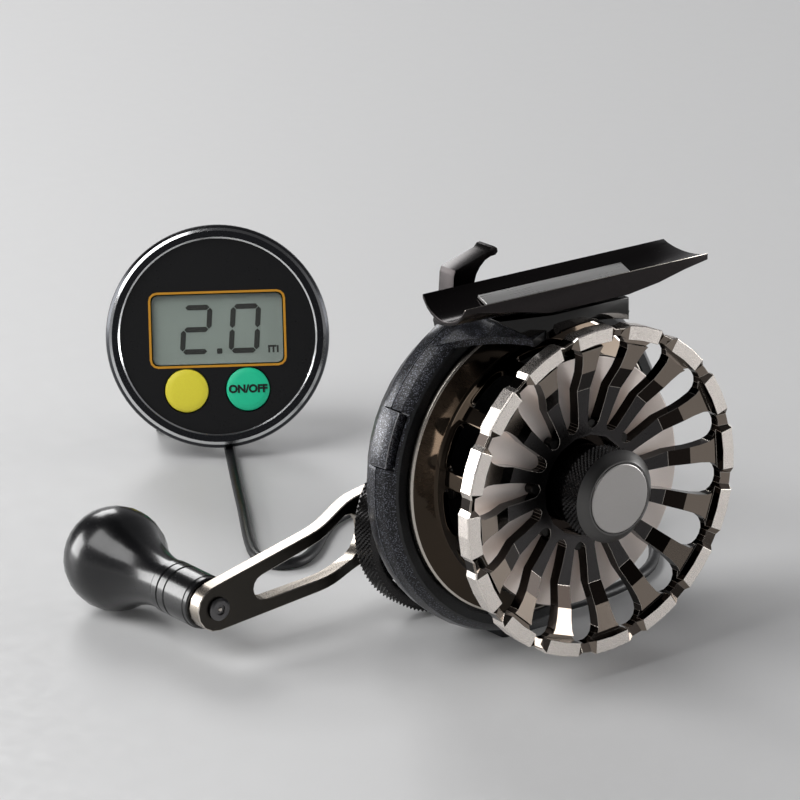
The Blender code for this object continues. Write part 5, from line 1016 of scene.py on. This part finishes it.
@dataclass
class SpoolDrum:
    """The windowed drum behind the wheel with its front disc and rear flange."""

    front: float = -8.3
    back: float = -19.6
    radius: float = 24.8
    wall: float = 1.3
    bore: float = 4.6
    flange: float = 30.0
    windows: int = 12
    window_phase: float = 7.0
    window_arc: float = 22.0
    window_front: float = -9.9
    window_margin: float = 1.7
    window_corner: float = 1.8
    disc_inner: float = 10.8
    pins: int = 8
    pin_circle: float = 11.9
    pin_phase: float = 37.55

    def build(self) -> None:
        """Turn the drum, cut its windows and set the dark pins."""
        inner = self.radius - self.wall
        blank = lathe("drum_blank", [
            (self.front, self.bore), (self.front, self.disc_inner), (self.front, self.radius - 0.3),
            (self.front - 0.3, self.radius), (self.back, self.radius), (self.back - 0.5, 25.4),
            (-21.0, self.flange - 0.5), (-21.25, self.flange - 0.12), (-21.6, self.flange),
            (-22.15, self.flange), (-22.3, self.flange - 0.2), (-20.7, inner), (-9.6, inner), (-9.6, 6.1),
            (-20.7, 6.1), (-20.7, self.bore)], 144)
        low, high = self.back + self.window_margin, self.window_front
        chord = 2 * math.sin(math.radians(self.window_arc / 2)) * self.radius
        hole = [(a, b + (low + high) / 2) for a, b in rounded(chord, high - low, self.window_corner)]
        across = Matrix(((0, 1, 0), (0, 0, 1), (1, 0, 0)))
        cutter = new_object("drum_window", prism("drum_window", hole, inner - 1, self.radius + 1, across))
        drum = grown("spool_drum_looks", Trees.ring(True), {
            "Piece": cutter, "Count": self.windows, "First angle": math.radians(self.window_phase),
            "Finish": TURNED_GUNMETAL.material()}, blank)
        drum = shade(soften(coat(drum, TURNED_GUNMETAL), 0.12, 40), 35)
        tint(drum, SPUN_BRIGHT, lambda here, normal: (
            normal.x > 0.8 and here.x > self.front - 0.3 and off_axis(here) > self.disc_inner))
        # Painted shade: the disc round the bore, behind the brake knob, is coloured near black.
        tint(drum, SHADED_WALL, lambda here, normal: off_axis(here) < self.disc_inner)
        # Painted highlight: a bright line along the flange's rim.
        tint(drum, HIGHLIGHT_EDGE_METAL, lambda here, normal: off_axis(here) > self.flange - 0.35)
        settle(drum, "spool", ("spool_drum",))
        pin = lathe("drum_pin", [(-8.0, 0), (-5.9, 0), (-5.9, 0.95), (-6.1, 1.12), (-8.0, 1.12)], 20)
        pin.transform(Matrix.Translation((0, self.pin_circle * MM, 0)))
        pins = grown("drum_pins", Trees.ring(False), {
            "Piece": new_object("drum_pin", pin), "Count": self.pins,
            "First angle": math.radians(self.pin_phase), "Finish": DARK_STEEL.material()})
        settle(coat(shade(pins), DARK_STEEL), "spool")


@dataclass(frozen=True)
class Knurl:
    """Diamond knurl over a turned band.

    core is the band's radius under the diamonds and peak the radius over them; start is where the
    first row lies along the axis, pitch the rows' spacing and root how deep each diamond is set in, all
    in mm.
    """

    core: float
    peak: float
    start: float
    pitch: float
    rows: int
    columns: int
    root: float = 0.12

    def cover(self, name: str, body: str, centre: Vector) -> None:
        """Cover the band with diamonds.

        Args:
            name: the piece's name.
            body: the body that it rides on.
            centre: a point on the band's axis.
        """
        wide, tip = math.pi * self.core / self.columns, self.root + (self.peak - self.core)
        corners = [(-self.pitch, 0, 0), (0, 0, wide), (self.pitch, 0, 0), (0, 0, -wide), (0, tip, 0)]
        solid = mesh_of("diamond", corners, [[0, 1, 4], [1, 2, 4], [2, 3, 4], [3, 0, 4], [3, 2, 1, 0]])
        made = grown(name, Trees.knurl(), {
            "Diamond": new_object("diamond", solid), "Rows": self.rows, "Columns": self.columns,
            "Radius": (self.core - self.root) * MM, "Start": self.start * MM, "Pitch": self.pitch * MM,
            "Finish": KNURL_BLACK.material()}, at=centre)
        settle(coat(made, KNURL_BLACK), body)


@dataclass
class BrakeKnob:
    """The knurled knob in the wheel's centre, with its satin cap."""

    radius: float = 9.1
    front: float = 4.4
    back: float = -6.7
    bore: float = 5.6
    neck: float = 7.9
    grip_back: float = -2.2
    chamfer: float = 1.6
    cap_radius: float = 6.8
    cap_back: float = 3.72
    cap_front: float = 4.6
    knurl: Knurl = Knurl(8.68, 9.1, -1.65, 0.52, 9, 58)

    def build(self) -> None:
        """Turn the sleeve, knurl it and let in the cap."""
        core, shoulder = self.knurl.core, self.front - self.chamfer
        sleeve = turned("brake_knob_looks", [
            (self.back, self.bore), (self.back, self.neck), (self.grip_back - 0.3, self.neck),
            (self.grip_back, self.neck + 0.3), (self.grip_back, core - 0.3), (self.grip_back + 0.2, core),
            (shoulder - 0.3, core), (shoulder - 0.15, self.radius - 0.05), (shoulder, self.radius - 0.02),
            (self.front - 0.15, self.radius - self.chamfer), (self.front, self.radius - self.chamfer - 0.25),
            (self.front, self.cap_radius + 0.12), (self.front - 0.9, self.cap_radius + 0.1),
            (self.front - 0.9, self.bore)], REEL, 128)
        tint(coat(sleeve, KNURL_BLACK), SATIN_DARK, lambda here, normal: (
            here.x > shoulder - 0.08 and normal.x > 0.15))
        settle(sleeve, "brake", ("brake_knob",))
        self.knurl.cover("brake_knurl", "brake", REEL)
        cap = turned("brake_cap_looks", [
            (self.cap_back, 0), (self.cap_front, 0), (self.cap_front, self.cap_radius - 0.22),
            (self.cap_front - 0.1, self.cap_radius - 0.04), (self.cap_front - 0.22, self.cap_radius),
            (self.cap_back, self.cap_radius)], REEL)
        settle(coat(cap, SATIN_GREY), "brake", ("brake_cap",))


@dataclass
class Display:
    """The round line display: bezel, black face, LCD and two keys."""

    radius: float = 24.8
    lip: float = 21.7
    key_radius: float = 4.8
    key_sides: tuple = (-7.2, 6.4)
    key_drop: float = -11.9
    lcd_rise: float = 1.6
    figure_back: float = -2.19
    figure_front: float = -2.12
    bar_thick: float = 1.15
    bar_slant: float = 0.08
    bar_gap: float = 0.22
    digit_tall: float = 4.9
    digit_wide: float = 5.6
    digit_sides: tuple = (-4.7, 6.1)
    point_side: float = 0.35
    unit_legs: tuple = (11.35, 12.3, 13.25)
    unit_rise: float = -3.15
    mark_size: float = 2.35
    mark_weight: float = 0.11
    mark_out: float = -0.61

    def placed(self, name: str, mesh: Mesh, shift: tuple = (0, 0, 0)) -> Object:
        """Put a mesh made in the display's own directions at its place."""
        mesh.transform(Matrix.Translation(DISPLAY_CENTRE + FACING_DISPLAY @ (Vector(shift) * MM)))
        return new_object(name, mesh)

    def turned(self, name: str, profile: list, segments: int = 128,
               shift: tuple = (0, 0, 0)) -> Object:
        """Turn a profile about the display's own axis.

        Args:
            name: the object's name.
            profile: the corners, as for lathe.
            segments: how many steps in a turn.
            shift: how far the axis is moved right, up and out, in mm.

        Returns:
            The smooth object.
        """
        mesh = lathe(name, profile, segments)
        mesh.transform(Matrix((DISPLAY_NORMAL, DISPLAY_RIGHT, DISPLAY_UP)).transposed().to_4x4())
        return shade(self.placed(name, mesh, shift))

    def on_corner(self, here: Vector, normal: Vector) -> bool:
        """Tell whether a bezel face lies on the polished corners of its front.

        Args:
            here: the face's centre from the display's centre, in mm.
            normal: its direction, which doesn't matter.

        Returns:
            True where it does.
        """
        out = here.dot(DISPLAY_NORMAL)
        reach = (here - DISPLAY_NORMAL * out).length
        return out > -0.32 and (reach > self.radius - 1.4 or reach < self.lip + 0.4)

    def build(self) -> None:
        """Make the bezel, face, screen, digits and keys."""
        bezel = self.turned("display_bezel_looks", [
            (0.0, self.lip + 0.35), (0.0, self.radius - 1.35), (-0.25, self.radius - 0.75),
            (-1.0, self.radius - 0.15), (-1.5, self.radius), (-3.4, self.radius), (-5.0, self.radius - 1.5),
            (-5.0, 22.4), (-1.25, 22.3), (-1.05, self.lip), (-0.3, self.lip)])
        coat(shade(bezel, 18), BEZEL_STEEL)
        tint(bezel, BEZEL_BRIGHT, self.on_corner, DISPLAY_CENTRE)
        settle(bezel, "frame", ("display_bezel",))
        for node, finish in (("face_plate", FACE_BLACK), ("lcd_panel", LCD_GREY), ("lcd_border", AMBER_INK)):
            refined(node, finish, 0.0)
        lens = refined("lcd_lens", WINDOW_CLEAR, 0.0)
        lens.visible_shadow = False
        self.keys()
        self.digits()

    def keys(self) -> None:
        """Two round keys with a soft edge, the right one marked ON and OFF."""
        for node, body, side, finish, slot in (
                ("set_button", "set_key", self.key_sides[0], YELLOW_KEY, "yellow_rubber"),
                ("power_button", "power_key", self.key_sides[1], GREEN_KEY, "green_rubber")):
            key = self.turned(node + "_looks", [
                (-3.2, 0), (-0.62, 0), (-0.66, 3.2), (-0.8, 4.3), (-1.05, 4.68), (-1.35, self.key_radius),
                (-3.2, self.key_radius)], 64, (side, self.key_drop, 0))
            settle(coat(key, finish), body, (node,))
        self.switch_mark()

    def switch_mark(self) -> None:
        """Print ON/OFF on the right key."""
        curve = bpy.data.curves.new("power_mark", "FONT")
        curve.body = "ON/OFF"
        curve.size = self.mark_size
        curve.align_x = "CENTER"
        curve.align_y = "CENTER"
        curve.extrude = 0.03
        curve.offset = self.mark_weight
        made = baked(new_object("power_mark_rough", curve), "power_mark")
        place = Vector((self.key_sides[1], self.key_drop, self.mark_out))
        made.data.transform(Matrix.Scale(MM, 4))
        made.data.transform(FACING_DISPLAY.to_4x4())
        made.data.transform(Matrix.Translation(DISPLAY_CENTRE + FACING_DISPLAY @ place * MM))
        settle(coat(made, PRINT_BLACK), "power_key")

    def segment(self, x: float, y: float, length: float, upright: bool) -> list:
        """Outline one slanted seven-segment bar.

        Args:
            x: its centre to the right, in mm.
            y: its centre upwards, in mm.
            length: its length in mm.
            upright: True for a bar that stands.

        Returns:
            The corners in mm.
        """
        half, edge = length / 2, self.bar_thick / 2
        shape = [(0, half), (edge, half - edge), (edge, -half + edge), (0, -half), (-edge, -half + edge),
                 (-edge, half - edge)]
        if not upright:
            shape = [(b, a) for a, b in shape]
        return [(x + a + self.bar_slant * (y + b - self.lcd_rise), y + b) for a, b in shape]

    def digits(self) -> None:
        """Set the figures 2.0 and a small m on the panel."""
        tall, wide = self.digit_tall, self.digit_wide
        bars = {"top": (0, tall, False), "mid": (0, 0, False), "low": (0, -tall, False),
                "ul": (-wide / 2, tall / 2, True), "ur": (wide / 2, tall / 2, True),
                "ll": (-wide / 2, -tall / 2, True), "lr": (wide / 2, -tall / 2, True)}
        lit = (("top", "ur", "mid", "ll", "low"), ("top", "ul", "ur", "ll", "lr", "low"))
        outlines = []
        for centre, keys in zip(self.digit_sides, lit):
            for x, y, upright in (bars[key] for key in keys):
                length = (tall if upright else wide) - self.bar_gap
                outlines.append(self.segment(centre + x, self.lcd_rise + y, length, upright))
        blocks = [(self.point_side, self.lcd_rise - tall, 1.2, 1.2, 0.3)]
        blocks += [(side, self.unit_rise, 0.42, 1.6, 0.1) for side in self.unit_legs]
        blocks.append((12.05, self.unit_rise + 0.65, 1.9, 0.42, 0.1))
        outlines += [[(x + a, y + b) for a, b in rounded(*size)] for x, y, *size in blocks]
        points, faces = [], []
        for outline in outlines:
            solid = prism("bar", outline, self.figure_back, self.figure_front, FACING_DISPLAY)
            start = len(points)
            points += [tuple(v.co / MM) for v in solid.vertices]
            faces += [[start + i for i in p.vertices] for p in solid.polygons]
            bpy.data.meshes.remove(solid)
        figures = self.placed("lcd_figures", mesh_of("lcd_figures", points, faces))
        settle(coat(figures, LCD_INK), "frame")


@dataclass
class Housing:
    """The painted frame and cover with their plate, screws and the cord's outlet."""

    edge: float = 0.14
    lip_inner: float = 31.0
    plate_front: float = -23.4
    plate_cut: float = 0.9
    plate_drop: float = 0.6
    plate_outer: float = 34.0
    screws: tuple = ("cover_screw_a", "cover_screw_b", "cover_screw_c")

    def build(self) -> None:
        """Dress each solid with softened edges."""
        # Painted highlight: the frame's rounded corners take the paler corner paint.
        ring = refined("main_frame", FLAKE_PAINT, 2 * self.edge, 18, 1, rim=HIGHLIGHT_CORNER_PAINT)
        # Painted shade: the ring's front face and its inner part take the near-black paint.
        tint(ring, SHADED_LIP_PAINT, lambda here, normal: (
            normal.x > 0.62 or off_axis(here) < self.lip_inner))
        # The cover's rounded corners take the same painted highlight.
        refined("side_cover", FLAKE_PAINT, self.edge, rim=HIGHLIGHT_CORNER_PAINT)
        # Painted light on the lock plate's paler paint, and a painted highlight on its rounded edge.
        self.slope(refined("lock_plate", LIT_PLATE_PAINT, 0.1, rim=HIGHLIGHT_PLATE_EDGE))
        refined("outlet_block", BLACK_ABS, 0.15)
        refined("cord_gland", BLACK_PVC, 0.1)
        for node in self.screws:
            refined(node, STEEL, 0.08)

    def slope(self, plate: Object) -> None:
        """Slant the lock plate's outer face so that it follows the band.

        Args:
            plate: the plate's piece.
        """
        for corner in plate.data.vertices:
            here = (corner.co - REEL) / MM
            if here.x < self.plate_front:
                continue
            radius = off_axis(here)
            drop = self.plate_drop / radius if radius > self.plate_outer else 0.0
            corner.co.x -= self.plate_cut * MM
            corner.co.y -= here.y * drop * MM
            corner.co.z -= here.z * drop * MM


@dataclass
class Foot:
    """The rod foot with its strip, the block under it and the release lever behind it."""

    lever_round: float = 0.5
    edge_height: float = 40.4
    edge_front: float = -4.75

    def build(self) -> None:
        """Dress the foot with a painted highlight on its front corner, the strip with its painted reflection,
        the block, and round the lever.
        """
        foot = refined("reel_foot", SATIN_FOOT, 0.16)
        # Painted highlight along the foot's front top corner.
        tint(foot, HIGHLIGHT_EDGE_METAL, lambda here, normal: here.z > self.edge_height and here.x > self.edge_front)
        # Painted reflection: the strip's near-white finish stands for a lamp mirrored in the trough.
        refined("foot_strip", STRIP_REFLECTION, 0.08)
        refined("foot_block", GLOSS_BLACK, 0.14)
        refined("release_lever", SATIN_FOOT, self.lever_round, segments=4)


@dataclass
class DragWheel:
    """The drag's knurled hand wheel behind the cover."""

    knurl: Knurl = Knurl(18.85, 19.3, -52.3, 0.55, 9, 116)

    def build(self) -> None:
        """Turn the rim down to its core and cover it with diamonds."""
        wheel = refined("drag_wheel", KNURL_BLACK, 0.12)
        core = self.knurl.core
        for corner in wheel.data.vertices:
            flat = Vector((0, corner.co.y - HUB.y, corner.co.z - HUB.z))
            if flat.length > (core + 0.05) * MM:
                corner.co -= flat * (1 - core * MM / flat.length)
        self.knurl.cover("drag_knurl", "drag", HUB)


@dataclass
class Handle:
    """The two-ended handle arm with its nut, collar and two ball knobs."""

    edge: float = 0.18
    ferrule: tuple = (
        (0.0, 2.1), (0.0, 4.95), (0.25, 5.2), (1.2, 5.25), (1.35, 5.4), (7.3, 5.4), (7.5, 5.22), (7.9, 5.22),
        (8.1, 5.4), (10.05, 5.4), (10.2, 5.08), (10.4, 5.08), (10.55, 5.4), (12.25, 5.4), (12.5, 5.2),
        (12.5, 2.1))
    button: tuple = (
        (0.0, 1.7), (0.0, 2.3), (-0.34, 2.3), (-0.56, 2.05), (-0.68, 1.6), (-0.7, 1.1), (-0.62, 1.02),
        (-0.3, 0.95), (-0.3, 0.5), (-0.5, 0.34), (-0.56, 0.0))
    button_height: float = 0.7
    post_radius: float = 1.7
    socket: float = 0.5

    def build(self) -> None:
        """Dress the arm with painted light on its side walls and a painted highlight on its edges, then the
        knobs and what holds them.
        """
        # Painted highlight on the arm's rounded edges.
        arm = refined("handle_arm", BRONZE_GREY, self.edge, segments=1, rim=HIGHLIGHT_EDGE_METAL)
        # Painted light: the arm's side walls take the paler bronze.
        tint(arm, LIT_BRONZE_WALL, lambda here, normal: abs(normal.x) < 0.5)
        refined("handle_collar", BLACK_ANODISED, 0.15)
        refined("handle_nut", STEEL, 0.15)
        for end in ("near", "far"):
            refined("knob_" + end, SATIN_BLACK, 0.0)
            self.turn_ferrule(end)
            self.turn_post(end)

    def turn_ferrule(self, end: str) -> None:
        """Turn one ferrule with its two grooves.

        Args:
            end: near or far.
        """
        low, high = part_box("ferrule_" + end)
        seat = Vector((high[0], (low[1] + high[1]) / 2, (low[2] + high[2]) / 2))
        ferrule = turned("ferrule_" + end + "_looks", [(-x, r) for x, r in self.ferrule], seat, 72)
        settle(coat(ferrule, SATIN_BLACK), end + "_grip", ("ferrule_" + end,))

    def turn_post(self, end: str) -> None:
        """Turn one post with its domed button head and a painted highlight in its socket.

        Args:
            end: near or far.
        """
        low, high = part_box("knob_post_" + end)
        depth = (high[0] - low[0]) / MM - self.button_height
        seat = Vector((high[0] - self.button_height * MM, (low[1] + high[1]) / 2, (low[2] + high[2]) / 2))
        profile = [(-depth, 0.0), (-depth, self.post_radius)] + [(-x, r) for x, r in self.button]
        post = coat(turned("knob_post_" + end + "_looks", profile, seat, 48), POST_STEEL)
        # Painted highlight in the button head's socket.
        tint(post, HIGHLIGHT_EDGE_METAL, lambda here, normal: here.x > 0 and off_axis(here) < self.socket, seat)
        settle(post, "handle", ("knob_post_" + end,))


@dataclass
class DisplayRear:
    """The display's moulded case with its battery hatch, rod clip and cord relief."""

    edge: float = 0.2

    def build(self) -> None:
        """Dress the moulded solids."""
        for node in ("display_case", "battery_hatch", "rod_clip"):
            refined(node, BLACK_ABS, self.edge)
        refined("cord_relief", BLACK_PVC, 0.1)


# Nodes inside the reel or display: their own meshes carry a finish.
COATED = {
    STEEL: ("spool_shaft", "bearing_front", "bearing_rear", "magnet_near", "magnet_far", "yoke_post_near",
            "yoke_post_far", "lever_pin", "handle_shaft", "pressure_plate", "handle_bearing", "coin_cell"),
    DARK_STEEL: ("foot_screw_near", "foot_screw_far"),
    BRASS: ("pinion", "main_gear"),
    BLACK_ABS: ("clutch_yoke",),
    CARBON: ("drag_washer",),
    BOARD: ("sensor_board", "display_board"),
}


def main() -> None:
    """Build every piece in order."""
    logging.basicConfig(level=logging.INFO, format="%(message)s")
    bpy.context.scene.view_settings.view_transform = "Standard"
    for piece in (Studio, LineCord, SpoolWheel, SpoolDrum, BrakeKnob, Display, DisplayRear, Housing, Foot,
                  DragWheel, Handle):
        piece().build()
    for finish, nodes in COATED.items():
        for node in nodes:
            coat(frame["nodes"][node], finish)
            LOG.info("%s coated", node)


if __name__ == "__main__":
    main()
